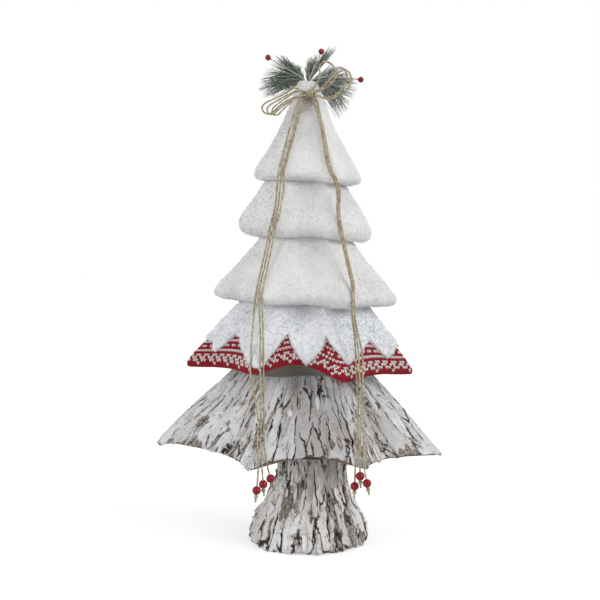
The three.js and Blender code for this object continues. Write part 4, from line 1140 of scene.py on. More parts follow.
skirtParts = {
    "slot": "skirt_bark",
    "columns": 640,
    "rows": 96,
    "seed": 40,
    "cellWidth": 0.018,  # of a plate of bark
    "cellLength": 0.085,
    "crackWidth": 0.0027,
    "crackDepth": 0.0024,
    "wave": 0.0012,
    "lift": 0.0007,  # from plate to plate
    "peelFrom": 0.79,  # higher leaves more of the outer bark on
    "ragged": 0.004,
    "thickness": 0.0034,
    "floor": 0.09,
    "toneShift": 0.2,
    "flakes": 70,
    "hemFlakes": 0.45,
    "curl": 0.0018,
    "blunt": [(180, 14, 0.0075)],  # turn, spread in degrees, and how far the tip droops
    "bare": [(246, 12, 0.1, 0.75, 0.35), (215, 8, 0, 0.4, 0.3)],  # turn, spread, from, to and how much
    "paintedLightAndShade": [(272, 28, 0.55), (325, 25, 0.5)],  # turn, spread and how much darker: painted shade on the front and right front
    "wash": [(0.05, "#BDBBBA"), (0.35, "#D6D5D5"), (0.7, "#E3E3E4"), (0.95, "#ECECED")],
    "shade": "#A09A96",
}
trunkParts = {
    "slot": "trunk_bark",
    "columns": 380,
    "rows": 84,
    "seed": 70,
    "cellWidth": 0.015,
    "cellLength": 0.065,
    "crackWidth": 0.0026,
    "crackDepth": 0.0028,
    "wave": 0.0014,
    "lift": 0.0012,
    "peelFrom": 0.74,
    "ragged": 0.004,
    "thickness": 0.0038,
    "floor": 0.0004,
    "toneShift": 0.14,
    "flakes": 70,
    "hemFlakes": 0.2,
    "curl": 0.0032,
    "blunt": [],
    "bare": [(305, 30, 0, 0.62, 0.3), (235, 8, 0, 0.4, 0.3)],
    # painted shade on the right front, and painted light on the left front where the amount is negative
    "paintedLightAndShade": [(305, 32, 0.5), (225, 30, -0.3)],
    "wash": [(0.1, "#C6C2C0"), (0.35, "#DCDAD9"), (0.7, "#E7E6E6"), (0.95, "#EFEFEF")],
    "shade": "#9E958D",
}
fineBark = {  # shared by both, in metres
    "lift": 0.0005,
    "fibre": 0.00045,
    "crackWidth": 0.001,
    "crackDepth": 0.0009,
    "peelDepth": 0.0011,
    "raggedFrom": 0.012,  # how far up from the lower edge it is ragged
    "bluntFrom": 0.016,
}
flakeParts = {
    "along": 7,  # points each way
    "across": 4,
    "length": (0.009, 0.03),
    "width": (0.0025, 0.0065),
    "thickness": 0.0005,
    "gap": 0.0004,  # under its flattest part
    "dark": 0.25,  # share of the flakes that show the brown side
}


def barkMaterial(name, values):
    # dried birch bark under a thin white wash: chalky plates, black partings, brown where it has peeled
    material, tree, shader = newMaterial(name, {"Roughness": 0.88, "Specular IOR Level": 0.25})
    place = addNode(tree, "Attribute", attribute_name="barkPlace", give="Vector")
    long = addNode(tree, "Mapping", Vector=place, Scale=(1, 1, 0.5))
    longer = addNode(tree, "Mapping", Vector=place, Scale=(1, 1, 0.25))
    wobble = addNode(tree, "TexNoise", Vector=place, Scale=perMetre(8), Detail=3, give="Color")
    wobble = addNode(tree, "VectorMath", wobble, (0.5, 0.5, 0.5), operation="SUBTRACT")
    wobble = addNode(tree, "VectorMath", wobble, operation="SCALE", Scale=0.007)
    bent = addNode(tree, "VectorMath", place, wobble, operation="ADD")

    def plates(up, size, width, keep):  # thin dark lines where plates part, and a tint for each plate
        cells = addNode(tree, "Mapping", Vector=bent, Scale=(1, 1, up))
        edge = addNode(tree, "TexVoronoi", feature="DISTANCE_TO_EDGE", Vector=cells, Scale=perMetre(size))
        line = addNode(tree, "ValToRGB", edge, stops=[(width * 0.35, 1.0), (width, 0.0)])
        here = addNode(tree, "TexNoise", Vector=long, Scale=perMetre(size * 1.8), Detail=3, Roughness=0.6)
        chosen = addNode(tree, "ValToRGB", here, stops=[(keep, 0.0), (keep + 0.06, 1.0)])
        tint = addNode(tree, "TexVoronoi", Vector=cells, Scale=perMetre(size), give="Color")
        return addNode(tree, "Math", line, chosen, operation="MULTIPLY"), tint

    broadLine, broadTint = plates(0.18, 13, 0.055, 0.48)
    fineLine, fineTint = plates(0.4, 4.4, 0.08, 0.6)
    tone, peel, crack = [addNode(tree, "Attribute", attribute_name=field, give="Fac")
                         for field in ("tone", "peel", "crack")]
    streak = addNode(tree, "TexNoise", Vector=longer, Scale=perMetre(1.6), Detail=5, Roughness=0.7)
    blotch = addNode(tree, "TexNoise", Vector=long, Scale=perMetre(14), Detail=6, Roughness=0.7,
                     Distortion=0.4)
    rough = addNode(tree, "TexNoise", Vector=long, Scale=perMetre(1.9), Detail=4, Roughness=0.7)
    # the small scars of birch bark are under 1 mm and are drawn at 2.6 mm, so that they show
    scar = addNode(tree, "TexNoise", Vector=long, Scale=perMetre(2.6), Detail=3, Roughness=0.6)
    ragged = addNode(tree, "Math", peel, rough, operation="MULTIPLY")
    brown = addNode(tree, "ValToRGB", rough, stops=[(0.35, "#453C36"), (0.5, "#81766D"), (0.62, "#B9B3AD")])
    broadTint = addNode(tree, "ValToRGB", broadTint, stops=[(0.2, "#D8D5D3"), (0.7, "#FFFFFF")])
    fineTint = addNode(tree, "ValToRGB", fineTint, stops=[(0.2, "#DAD7D5"), (0.6, "#FFFFFF")])
    grain = addNode(tree, "ValToRGB", streak, stops=[(0.24, "#A39D99"), (0.36, "#EAE8E7"), (0.46, "#FFFFFF")])
    # the wash follows the tone, which carries painted shade and painted light by turn as well as each plate's
    # own tone
    colour = addNode(tree, "ValToRGB", tone, stops=values["wash"])
    for share, tint in ((0.35, broadTint), (0.3, fineTint), (0.4, grain)):
        colour = addNode(tree, "Mix", data_type="RGBA", blend_type="MULTIPLY", Factor=share, A=colour, B=tint)
    layers = [
        (addNode(tree, "ValToRGB", blotch, stops=[(0.56, 0.0), (0.6, 0.55)]), values["shade"]),
        (addNode(tree, "ValToRGB", ragged, stops=[(0.29, 0.0), (0.34, 1.0)]), brown),
        (addNode(tree, "ValToRGB", scar, stops=[(0.65, 0.0), (0.69, 0.8)]), "#5B524D"),
        (fineLine, "#6A615B"),
        (broadLine, "#35302D"),
        (addNode(tree, "ValToRGB", crack, stops=[(0.4, 0.0), (0.7, 1.0)]), "#2B2522"),
    ]
    for mask, over in layers:
        colour = addNode(tree, "Mix", data_type="RGBA", Factor=mask, A=colour, B=over)
    height = addNode(tree, "Math", rough, broadLine, operation="SUBTRACT")
    normal = addNode(tree, "Bump", Height=height, Strength=0.5, Distance=0.0008)
    normal = addNode(tree, "Bump", Height=streak, Strength=0.4, Distance=0.0006, Normal=normal)
    tree.links.new(colour, shader.inputs["Base Color"])
    tree.links.new(normal, shader.inputs["Normal"])
    return material


def ringNoise(s, t, around, waveS, waveT, seed):  # smooth noise from 0 to 1 on a wall that closes on itself
    countS = max(3, round(around / waveS))
    countT = int(t.max() / waveT) + 4
    lattice = np.random.default_rng(seed).random((countS, countT))
    x, y = s / around * countS, t / waveT + 1
    i, j = np.floor(x).astype(int), np.floor(y).astype(int)
    fx, fy = x - i, y - j
    fx, fy = fx * fx * (3 - 2 * fx), fy * fy * (3 - 2 * fy)

    def pick(a, b):
        return lattice[(i + a) % countS, np.clip(j + b, 0, countT - 1)]

    lower = pick(0, 0) * (1 - fx) + pick(1, 0) * fx
    upper = pick(0, 1) * (1 - fx) + pick(1, 1) * fx
    return lower * (1 - fy) + upper * fy


def barkCells(s, t, around, cellS, cellT, seed):
    # the plates of bark: how far from a parting, each plate's lift and tone, and where a parting is upright
    rng = np.random.default_rng(seed)
    countS, countT = max(4, round(around / cellS)), int(t.max() / cellT) + 6
    jitterS, jitterT = rng.random((2, countS, countT))
    stagger = rng.random(countS)
    x, y = s / around * countS, t / cellT + 2
    i = np.floor(x).astype(int)
    near = np.full(s.shape, 9.0)
    nearer = np.full(s.shape, 9.0)
    nearX, nearerX = np.zeros(s.shape), np.zeros(s.shape)
    owner = np.zeros(s.shape, int)
    for di in (-1, 0, 1):
        column = (i + di) % countS
        rows = np.floor(y + stagger[column]).astype(int)
        for dj in (-1, 0, 1):
            row = np.clip(rows + dj, 0, countT - 1)
            dx = x - (i + di + 0.2 + 0.6 * jitterS[column, row])
            dy = (y + stagger[column] - (rows + dj + 0.15 + 0.7 * jitterT[column, row])) * 0.75
            distance = np.hypot(dx, dy)
            closer = distance < nearer
            second = ~closer & (distance < near)
            nearX = np.where(closer, nearerX, np.where(second, dx, nearX))
            nearerX = np.where(closer, dx, nearerX)
            near = np.where(closer, nearer, np.minimum(near, distance))
            owner = np.where(closer, column * countT + row, owner)
            nearer = np.where(closer, distance, nearer)
    lift = rng.random(countS * countT)
    tone = rng.random(countS * countT)
    upright = np.clip((np.abs(nearX - nearerX) - 0.3) * 2.5, 0, 1)  # plates part along the grain
    return (near - nearer) * cellS, lift[owner], tone[owner], upright


def barkWall(name, nodeNames, material, values):
    grid, around = wallGrid([nodes[n].data for n in nodeNames], values["columns"], values["rows"])
    normal = gridNormals(grid, 3)
    columns, rows = grid.shape[:2]
    rises = np.cumsum(np.linalg.norm(np.diff(grid, axis=1), axis=2), 1)
    t = np.concatenate([np.zeros((columns, 1)), rises], 1)  # metres up the wall
    s = np.repeat(np.arange(columns)[:, None] * around / columns, rows, 1)  # and round it
    turns = np.degrees(np.arctan2(grid[:, :, 1], grid[:, :, 0])) % 360
    upward = t / t[:, -1:]
    seed = values["seed"]

    def noise(waveS, waveT, step, places=s):
        return ringNoise(places, t, around, waveS, waveT, seed + step)

    def about(turn, spread):
        return np.clip(1.5 - np.abs(turns - turn) / spread, 0, 1)

    wobbleS = s + (noise(0.02, 0.04, 0) - 0.5) * 0.005 + (noise(0.006, 0.008, 1) - 0.5) * 0.0022
    wobbleT = np.maximum(t + (noise(0.01, 0.02, 2) - 0.5) * 0.014, 0)
    edge, lift, cellTone, upright = barkCells(
        wobbleS, wobbleT, around, values["cellWidth"], values["cellLength"], seed + 3)
    fineEdge, fineLift, fineTone, fineUpright = barkCells(
        wobbleS, wobbleT, around, values["cellWidth"] * 0.42, values["cellLength"] * 0.5, seed + 4)
    width = values["crackWidth"] * np.clip(noise(0.018, 0.03, 5) * 2.6 - 0.9, 0.02, 0.8) * upright
    crack = np.clip(1.25 - edge / np.maximum(width, 1e-5), 0, 1) * upright
    fineWidth = fineBark["crackWidth"] * np.clip(noise(0.014, 0.02, 6) * 3 - 1.5, 0, 1) * fineUpright
    fineCrack = np.clip(1 - fineEdge / np.maximum(fineWidth, 1e-5), 0, 1) * 0.85
    patch = noise(0.012, 0.03, 7, wobbleS) * 0.6 + noise(0.004, 0.01, 8, wobbleS) * 0.4
    zone = noise(0.07, 0.05, 9)
    for turn, spread, low, high, more in values["bare"]:  # where more of the outer bark has come off
        zone = zone + more * about(turn, spread) * ((upward > low) & (upward < high))
    peel = np.clip((patch + zone * 0.35 - values["peelFrom"]) * 9, 0, 1)
    # painted shade by turn, and painted light where an amount is negative
    paintedLightAndShade = sum(less * about(turn, spread) for turn, spread, less in values["paintedLightAndShade"])
    fibre = noise(0.0026, 0.02, 10) + noise(0.005, 0.03, 11) - 1
    wave = noise(0.045, 0.06, 12) - 0.5
    height = values["wave"] * wave * 2 + values["lift"] * (lift - 0.4)
    height = height + fineBark["lift"] * (fineLift - 0.5) + fineBark["fibre"] * fibre
    height = height - values["crackDepth"] * crack - fineBark["crackDepth"] * fineCrack
    height = height - fineBark["peelDepth"] * peel
    outer = grid + normal * height[:, :, None]
    fall = grid[:, :1] - grid[:, 2:3]
    fall /= np.maximum(np.linalg.norm(fall, axis=2, keepdims=True), 1e-9)
    ragged = (ringNoise(s, s * 0, around, 0.013, 1, seed + 13) - 0.45) * values["ragged"]
    ragged = ragged + (ringNoise(s, s * 0, around, 0.0035, 1, seed + 14) - 0.5) * values["ragged"] * 0.5
    outer = outer + fall * (ragged * np.clip(1 - t / fineBark["raggedFrom"], 0, 1))[:, :, None]
    for turn, spread, drop in values["blunt"]:
        weight = np.clip(1 - np.abs(turns[:, :1] - turn) / spread, 0, 1) ** 1.5
        outer[:, :, 2] -= drop * weight * np.clip(1 - t / fineBark["bluntFrom"], 0, 1) ** 0.8
    outer[:, :, 2] = np.maximum(outer[:, :, 2], values["floor"])
    innerRows = [0, rows // 3, 2 * rows // 3, rows - 1]
    inner = (grid - normal * values["thickness"])[:, innerRows]
    inner[:, 0] = outer[:, 0] - normal[:, 0] * values["thickness"]
    inner[:, 0, 2] = np.maximum(inner[:, 0, 2], values["floor"])
    points = np.concatenate([outer.reshape(-1, 3), inner.reshape(-1, 3)])
    faces = ringFaces(columns, rows, len(innerRows))
    wall = meshPiece(name, points, faces, material)
    spare = np.zeros(columns * len(innerRows))
    turn = 2 * math.pi * s / around
    radius = around / (2 * math.pi)
    place = np.stack([np.cos(turn) * radius, np.sin(turn) * radius, t], 2)  # the wall as an upright tube
    # the tone holds each plate's own wash together with the painted shade and light by turn
    tone = np.clip(0.55 * cellTone + 0.2 * fineTone + 0.25 * zone + values["toneShift"] - paintedLightAndShade, 0, 1)
    setAttribute(wall, "crack", np.concatenate([np.maximum(crack, fineCrack).ravel(), spare]))
    setAttribute(wall, "peel", np.concatenate([(peel * (0.5 + 0.5 * fineTone)).ravel(), spare + 1]))
    setAttribute(wall, "tone", np.concatenate([tone.ravel(), spare + 0.4]))
    places = np.concatenate([place.reshape(-1, 3), place[:, innerRows].reshape(-1, 3)])
    setAttribute(wall, "barkPlace", places, "FLOAT_VECTOR")
    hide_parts(*nodeNames)
    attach(wall, "tree")
    flakes = barkFlakes(name + "_flakes", outer, normal, place, around, material, values)
    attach(flakes, "tree")
    print(name, len(faces), "faces,", len(flakes.data.polygons), "on its flakes")


def barkFlakes(name, grid, normal, place, around, material, values):  # thin curls that stand off the wall
    rng = random.Random(values["seed"])
    columns, rows = grid.shape[:2]
    cell = around / columns
    long, wide = flakeParts["along"], flakeParts["across"]
    points, faces, crack, peel, tone, places = [], [], [], [], [], []

    def sample(field, i, j):
        i0, j0 = math.floor(i), min(max(math.floor(j), 0), rows - 2)
        fi, fj = i - i0, min(max(j - j0, -1.5), 2)
        a, b = field[i0 % columns], field[(i0 + 1) % columns]
        return (a[j0] * (1 - fj) + a[j0 + 1] * fj) * (1 - fi) + (b[j0] * (1 - fj) + b[j0 + 1] * fj) * fi

    for _ in range(values["flakes"]):
        i, low = rng.uniform(0, columns), rng.uniform(-1, rows * 0.8)
        if rng.random() < values["hemFlakes"]:
            low = rng.uniform(-2, 2)
        step = np.linalg.norm(grid[int(i) % columns, 1] - grid[int(i) % columns, 0]) or 0.001
        length = rng.uniform(*flakeParts["length"]) / step
        width = rng.uniform(*flakeParts["width"]) / cell
        curlsUp = rng.random() < 0.5
        curl = rng.uniform(flakeParts["gap"], values["curl"])
        skew = rng.uniform(-0.3, 0.3)
        dark = 1.0 if rng.random() < flakeParts["dark"] else 0.0
        shade = rng.random()
        first = len(points)
        for layer in (0, 1):
            for a in range(long):
                along = a / (long - 1)
                taper = 1 - 0.75 * abs(2 * along - 1) ** 3
                for b in range(wide):
                    across = (b / (wide - 1) - 0.5) * width * taper + skew * width * (along - 0.5)
                    across = across + (rng.random() - 0.5) * 0.12 * width
                    lifted = curl * (along if curlsUp else 1 - along) ** 2 + flakeParts["gap"]
                    lifted = lifted + curl * 0.3 * (2 * b / (wide - 1) - 1) ** 2
                    spot = (i + across, low + along * length)
                    lifted = lifted - layer * flakeParts["thickness"]
                    points.append(sample(grid, *spot) + sample(normal, *spot) * lifted)
                    places.append(sample(place, *spot))
                    crack.append(0.0)
                    peel.append(1.0 if layer else dark * 0.8)
                    tone.append(min(1, 0.35 + 0.6 * shade + values["toneShift"]))
        top = np.arange(first, first + long * wide).reshape(long, wide).tolist()
        under = np.arange(first + long * wide, first + 2 * long * wide).reshape(long, wide).tolist()
        for a in range(long - 1):
            for b in range(wide - 1):
                faces.append((top[a][b], top[a][b + 1], top[a + 1][b + 1], top[a + 1][b]))
                faces.append((under[a][b + 1], under[a][b], under[a + 1][b], under[a + 1][b + 1]))
            faces.append((under[a][0], top[a][0], top[a + 1][0], under[a + 1][0]))
            faces.append((top[a][-1], under[a][-1], under[a + 1][-1], top[a + 1][-1]))
        for b in range(wide - 1):
            faces.append((under[0][b + 1], top[0][b + 1], top[0][b], under[0][b]))
            faces.append((top[-1][b + 1], under[-1][b + 1], under[-1][b], top[-1][b]))
    points = np.array(points)
    points[:, 2] = np.maximum(points[:, 2], values["floor"])
    flakes = meshPiece(name, points, faces, material, smooth=False)
    setAttribute(flakes, "crack", crack)
    setAttribute(flakes, "peel", peel)
    setAttribute(flakes, "tone", tone)
    setAttribute(flakes, "barkPlace", places, "FLOAT_VECTOR")
    return flakes


skirtBark = barkMaterial("whitewashed birch bark", skirtParts)
trunkBark = barkMaterial("grey and white birch bark", trunkParts)
barkWall("birch_skirt", [f"skirt_bark_{i}" for i in range(1, 7)], skirtBark, skirtParts)
barkWall("birch_trunk", [f"trunk_bark_{i}" for i in range(1, 7)], trunkBark, trunkParts)
print("bark made")

# Pine sprigs and berries

sprigParts = {  # the stem's route, and the outline that the needles' tips reach, as x and z
    "left": {
        "stem": [(-0.004, 0.0012, 0.556), (-0.004, 0.0012, 0.563), (-0.0043, 0.0015, 0.5675),
                 (-0.008, 0.003, 0.5735), (-0.026, 0.005, 0.578)],
        "tips": [(-0.008, 0.586), (-0.0205, 0.5895), (-0.031, 0.5985), (-0.041, 0.5985), (-0.0565, 0.5735),
                 (-0.0625, 0.5605), (-0.0595, 0.5505), (-0.036, 0.5455)],
        "count": 390,
        "frost": 0.42,
    },
    "top": {
        "stem": [(0, 0.0012, 0.556), (0, 0.0012, 0.563), (0.0004, 0.0016, 0.567), (0.003, 0.003, 0.572),
                 (0.01, 0.005, 0.583)],
        "tips": [(-0.0055, 0.582), (0.0015, 0.595), (0.0126, 0.601), (0.019, 0.596), (0.0275, 0.6105),
                 (0.0365, 0.6075)],
        "count": 250,
        "frost": 0.45,
    },
    "right": {
        "stem": [(0.004, 0.0012, 0.556), (0.004, 0.0012, 0.563), (0.0043, 0.0015, 0.567),
                 (0.01, 0.003, 0.57), (0.028, 0.005, 0.566)],
        "tips": [(0.03, 0.589), (0.043, 0.585), (0.0575, 0.5725), (0.0625, 0.562), (0.0585, 0.548),
                 (0.0525, 0.5385), (0.0465, 0.5275), (0.0385, 0.5185)],
        "count": 370,
        "frost": 0.8,
    },
}
needleParts = {
    "shortest": 0.012,
    "thick": (0.00036, 0.0006),
    "depth": (-0.002, 0.024),  # how far back a tip lies
    "rings": ((0, 0, 1), (0.3, 0.8, 0.95), (0.65, 2.6, 0.75), (1, 5, 0.25)),  # height, bend and radius
    "stemRadius": 0.001,
    "stemTaper": 0.0004,
    "stemSides": 7,
    "step": 0.0015,
}


def needleMaterial():  # moulded green plastic needles with sprayed frost: dark green under a chalky bloom
    material, tree, shader = newMaterial("frosted pine needle", {"Roughness": 0.7})
    place = addNode(tree, "TexCoord", give="Object")
    patch = addNode(tree, "TexNoise", Vector=place, Scale=perMetre(4), Detail=3, Roughness=0.6)
    spray = addNode(tree, "TexNoise", Vector=place, Scale=perMetre(1.4), Detail=3, Roughness=0.6)
    grit = addNode(tree, "TexNoise", Vector=place, Scale=perMetre(0.7), Detail=2, Roughness=0.6)
    green = addNode(tree, "ValToRGB", patch, stops=[(0.3, "#202E20"), (0.5, "#3A4D36"), (0.7, "#66765C")])
    spray = addNode(tree, "ValToRGB", spray, stops=[(0.35, 0.25), (0.65, 1.0)])
    frost = addNode(tree, "Attribute", attribute_name="frost", give="Fac")
    frost = addNode(tree, "Math", frost, spray, operation="MULTIPLY")
    colour = addNode(tree, "Mix", data_type="RGBA", Factor=frost, A=green, B="#D3DAD4")
    normal = addNode(tree, "Bump", Height=grit, Strength=0.4, Distance=0.0002)
    tree.links.new(colour, shader.inputs["Base Color"])
    tree.links.new(normal, shader.inputs["Normal"])
    return material


def twigMaterial():  # paper-wrapped wire with sprayed frost: grey-green and chalky, in small grains
    material, tree, shader = newMaterial("frosted twig", {"Roughness": 0.8})
    place = addNode(tree, "TexCoord", give="Object")
    patch = addNode(tree, "TexNoise", Vector=place, Scale=perMetre(1.7), Detail=3, Roughness=0.6)
    grit = addNode(tree, "TexNoise", Vector=place, Scale=perMetre(0.7), Detail=2, Roughness=0.6)
    colour = addNode(tree, "ValToRGB", patch, stops=[(0.35, "#7F8070"), (0.55, "#ADAFA2"), (0.7, "#DADBD5")])
    normal = addNode(tree, "Bump", Height=grit, Strength=0.5, Distance=0.0002)
    tree.links.new(colour, shader.inputs["Base Color"])
    tree.links.new(normal, shader.inputs["Normal"])
    return material


needles = needleMaterial()
twig = twigMaterial()


def needleShape():
    points, faces = [], []
    for z, bend, radius in needleParts["rings"]:
        for angle in (0, 2.094, 4.189):  # three sides
            points.append(Vector((bend + radius * math.cos(angle), radius * math.sin(angle), z)))
    for j in range(3):
        for k in range(3):
            faces.append((j * 3 + k, j * 3 + (k + 1) % 3, j * 3 + 3 + (k + 1) % 3, j * 3 + 3 + k))
    faces.extend([(2, 1, 0), (9, 10, 11)])
    return meshPiece("needle", points, faces, needles)


def pineSprig(side, values, seed):
    rng = random.Random(seed)
    stem = curvePoints(values["stem"], needleParts["step"])
    radii = [needleParts["stemRadius"] - needleParts["stemTaper"] * i / len(stem) for i in range(len(stem))]
    points, faces, uvs = [], [], []
    addTube(points, faces, uvs, stem, radii, needleParts["stemSides"])
    woody = meshPiece(f"sprig_stem_{side}", points, faces, twig, uvs)
    places, outs, alongs, sizes, frosts = [], [], [], [], []
    tips = values["tips"]
    for _ in range(values["count"]):
        at = rng.random() * (len(tips) - 1)
        k = min(int(at), len(tips) - 2)
        x, z = [tips[k][c] + (tips[k + 1][c] - tips[k][c]) * (at - k) for c in (0, 1)]
        root = stem[int((0.3 + 0.69 * rng.random()) * (len(stem) - 1))]
        tip = Vector((x, rng.uniform(*needleParts["depth"]), z))
        tip = root + (tip - root) * (rng.uniform(0.9, 1.0) if rng.random() < 0.35 else rng.uniform(0.5, 0.9))
        if (tip - root).length < needleParts["shortest"]:
            tip = root + (tip - root).normalized() * needleParts["shortest"]
        places.append(root)
        outs.append(tuple((tip - root).normalized()))
        alongs.append((rng.uniform(-1, 1), rng.uniform(-1, 1), rng.uniform(-1, 1)))
        thick = rng.uniform(*needleParts["thick"])
        sizes.append((thick, thick, (tip - root).length))
        frosts.append(min(1, max(0, rng.gauss(values["frost"], 0.3))))
    seeds = meshPiece("needle_places", places, [], needles)
    for name, data in (("out", outs), ("along", alongs), ("size", sizes)):
        setAttribute(seeds, name, data, "FLOAT_VECTOR")
    setAttribute(seeds, "frost", frosts)
    shape = needleShape()
    sprig = grown(f"pine_needles_{side}", seeds, placeNodes, {"Shape": shape, "Material": needles})
    dropObject(seeds, shape)
    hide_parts(f"pine_sprig_{side}")
    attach(sprig, "tree")
    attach(woody, "tree")


for seed, (side, values) in enumerate(sprigParts.items(), 5):
    pineSprig(side, values, seed)

berryParts = {
    "radius": 0.0036,
    "sides": 24,
    "rows": 16,
    "dent": 0.18,  # at the tip, as a share of the radius
    "dentWidth": 0.28,
    "stemRadius": 0.0007,
    "stemBumps": 0.15,  # of frost, as a share of the radius
    "stemStep": 0.0015,
    "stemSides": 8,
    "stems": {
        "left": [(-0.003, -0.0022, 0.555), (-0.003, -0.0022, 0.563), (-0.0038, -0.0026, 0.5662),
                 (-0.011, -0.006, 0.572), (-0.028, -0.0085, 0.581), (-0.0483, -0.0085, 0.5932)],
        "top": [(0, -0.0022, 0.555), (0, -0.0022, 0.563), (0.0006, -0.0028, 0.567),
                (0.004, -0.0055, 0.574), (0.011, -0.0085, 0.588), (0.0162, -0.0085, 0.6005)],
        "right": [(0.003, -0.0022, 0.555), (0.003, -0.0022, 0.563), (0.004, -0.0027, 0.5662),
                  (0.014, -0.0065, 0.5695), (0.034, -0.0085, 0.57), (0.0641, -0.0085, 0.5668)],
    },
}


def berryMaterial():  # foam dipped in dark red lacquer: half gloss, with a few pale specks of frost
    material, tree, shader = newMaterial("dark red berry lacquer", {"Roughness": 0.28,
                                                                    "Specular IOR Level": 0.3})
    place = addNode(tree, "TexCoord", give="Object")
    speck = addNode(tree, "TexNoise", Vector=place, Scale=perMetre(1.1), Detail=3, Roughness=0.6)
    patch = addNode(tree, "TexNoise", Vector=place, Scale=perMetre(4), Detail=2, Roughness=0.6)
    red = addNode(tree, "ValToRGB", patch, stops=[(0.35, "#6E0616"), (0.6, "#980D22")])
    frost = addNode(tree, "ValToRGB", speck, stops=[(0.62, 0.0), (0.72, 0.7)])
    colour = addNode(tree, "Mix", data_type="RGBA", Factor=frost, A=red, B="#D8C2C2")
    normal = addNode(tree, "Bump", Height=speck, Strength=0.3, Distance=0.0002)
    tree.links.new(colour, shader.inputs["Base Color"])
    tree.links.new(normal, shader.inputs["Normal"])
    return material


berryLacquer = berryMaterial()


def pineBerry(side, route):
    values = berryParts
    route = [Vector(p) for p in route]
    centre, radius = route[-1], values["radius"]
    towards = (route[-1] - route[-2]).normalized()
    route[-1] = centre - towards * (radius * 0.9)  # the stem ends just inside the berry
    line = curvePoints(route, values["stemStep"])
    radii = [values["stemRadius"] * (1 + values["stemBumps"] * math.sin(i * 1.9)) for i in range(len(line))]
    points, faces, uvs = [], [], []
    addTube(points, faces, uvs, line, radii, values["stemSides"])
    stem = meshPiece(f"frosted_stem_{side}", points, faces, twig, uvs)
    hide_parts(f"berry_stem_{side}")
    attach(stem, "tree")
    turn = Vector((0, 0, 1)).rotation_difference(towards)
    points, faces, sides, rows = [], [], values["sides"], values["rows"]
    for j in range(rows + 1):
        angle = math.pi * j / rows
        dent = 1 - values["dent"] * math.exp(-(angle / values["dentWidth"]) ** 2)
        for k in range(sides):
            turned = 2 * math.pi * k / sides
            out = (math.sin(angle) * math.cos(turned), math.sin(angle) * math.sin(turned), math.cos(angle))
            points.append(centre + turn @ (Vector(out) * radius * dent))
    for j in range(rows):
        for k in range(sides):
            a, b = j * sides + k, j * sides + (k + 1) % sides
            faces.append((a, a + sides, b + sides, b))
    berry = meshPiece(f"red_berry_{side}", points, faces, berryLacquer)
    work = bmesh.new()
    work.from_mesh(berry.data)
    bmesh.ops.remove_doubles(work, verts=work.verts, dist=1e-7)
    work.to_mesh(berry.data)
    work.free()
    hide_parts(f"berry_{side}")
    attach(berry, "tree")


for side, route in berryParts["stems"].items():
    pineBerry(side, route)
print("sprigs and berries made")

# The CAD nodes that stay in sight: each one's nodes, colours, size of its grain in millimetres and finish

carried = {
    "grey-brown pressed board": {  # fine mixed fibres, matt
        "nodes": ["base_disc"], "stops": [(0.3, "#8A7963"), (0.7, "#A8967C")], "grain": 3.3,
        "stretch": (1, 1, 1), "roughness": 0.85, "bump": 0.4, "metallic": 0,
    },
    "plain turned beech": {  # pale wood with long straight grain
        "nodes": ["centre_dowel"], "stops": [(0.3, "#B99567"), (0.7, "#D3B184")], "grain": 6,
        "stretch": (1, 1, 0.08), "roughness": 0.6, "bump": 0.2, "metallic": 0,
    },
    "brown papered foam": {  # crumpled brown paper over foam
        "nodes": ["skirt_core"], "stops": [(0.3, "#6F6154"), (0.7, "#8C7D6E")], "grain": 8,
        "stretch": (1, 1, 1), "roughness": 0.9, "bump": 0.5, "metallic": 0,
    },
    "white bead foam": {  # pressed beads of 3 mm
        "nodes": ["trunk_core", "knit_tier_core", "upper_core"],
        "stops": [(0.3, "#DADAD8"), (0.7, "#EFEFED")], "grain": 3,
        "stretch": (1, 1, 1), "roughness": 0.8, "bump": 0.6, "metallic": 0,
    },
    "plain steel wire": {  # drawn, so its streaks run along it
        "nodes": ["bow_pin"], "stops": [(0.3, "#9A9A9C"), (0.7, "#B9B9BC")], "grain": 1.2,
        "stretch": (1, 0.1, 1), "roughness": 0.35, "bump": 0.1, "metallic": 1,
    },
}


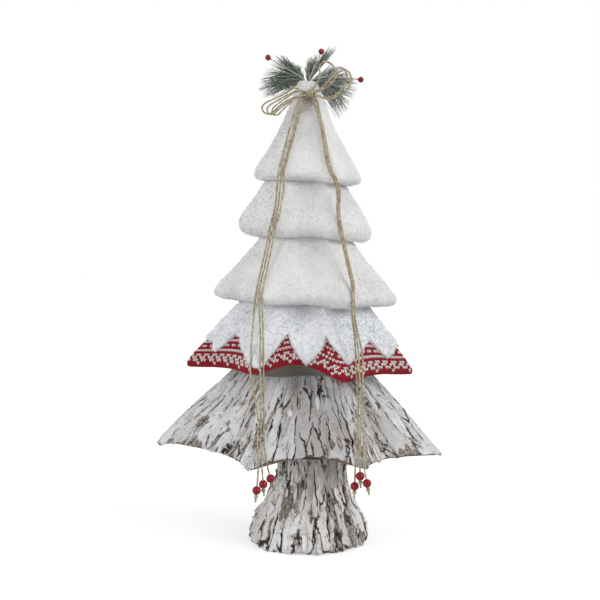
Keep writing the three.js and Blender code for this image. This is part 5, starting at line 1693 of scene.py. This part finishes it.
def carriedMaterial(name, values):
    material, tree, shader = newMaterial(name, {"Roughness": values["roughness"],
                                                "Metallic": values["metallic"]})
    place = addNode(tree, "TexCoord", give="Object")
    place = addNode(tree, "Mapping", Vector=place, Scale=values["stretch"])
    grain = addNode(tree, "TexNoise", Vector=place, Scale=perMetre(values["grain"]), Detail=4, Roughness=0.65)
    colour = addNode(tree, "ValToRGB", grain, stops=values["stops"])
    normal = addNode(tree, "Bump", Height=grain, Strength=values["bump"], Distance=0.0005)
    tree.links.new(colour, shader.inputs["Base Color"])
    tree.links.new(normal, shader.inputs["Normal"])
    return material


for name, values in carried.items():
    material = carriedMaterial(name, values)
    for nodeName in values["nodes"]:
        mesh = nodes[nodeName].data
        if mesh.materials:
            mesh.materials[0] = material
        else:
            mesh.materials.append(material)
print("carried nodes dressed")

# Floor, lamps and world

studio = {
    "ambient": 0.62,
    "key": 1.35,
    "keyTurn": (62, 0, 62),
    "fill": 0.95,
    "fillTurn": (74, 0, -64),
    "softness": 30,  # degrees
    "floorHalf": 6,
    "floorColour": "#CBCBCB",
    "floorGlow": 0.57,  # only where the camera or a reflection sees it
}


def seenDirectly(tree):  # 1 for rays from the camera, in a reflection or through glass
    rays = addNode(tree, "LightPath").node.outputs
    both = addNode(tree, "Math", rays["Is Camera Ray"], rays["Is Glossy Ray"], operation="MAXIMUM")
    return addNode(tree, "Math", both, rays["Is Transmission Ray"], operation="MAXIMUM")


world = bpy.data.worlds.new("studio")
world.use_nodes = True
scene.world = world
tree = world.node_tree
strength = addNode(tree, "Mix", data_type="FLOAT", Factor=seenDirectly(tree), A=studio["ambient"], B=1.0)
background = tree.nodes["Background"]
background.inputs["Color"].default_value = linearColour("#FFFFFF")
tree.links.new(strength, background.inputs["Strength"])

floorMaterial, tree, shader = newMaterial("pale studio floor", {
    "Base Color": studio["floorColour"], "Roughness": 0.9, "Emission Color": "#FFFFFF"})
glow = addNode(tree, "Math", seenDirectly(tree), studio["floorGlow"], operation="MULTIPLY")
tree.links.new(glow, shader.inputs["Emission Strength"])
half = studio["floorHalf"]
corners = [(-half, -half, 0), (half, -half, 0), (half, half, 0), (-half, half, 0)]
floor = meshPiece("floor", corners, [(0, 1, 2, 3)], floorMaterial)

for name in ("key", "fill"):
    lamp = bpy.data.objects.new(name, bpy.data.lights.new(name, "SUN"))
    lamp.data.energy = studio[name]
    lamp.data.angle = math.radians(studio["softness"])
    lamp.rotation_euler = [math.radians(a) for a in studio[name + "Turn"]]
    scene.collection.objects.link(lamp)

print("everything made")
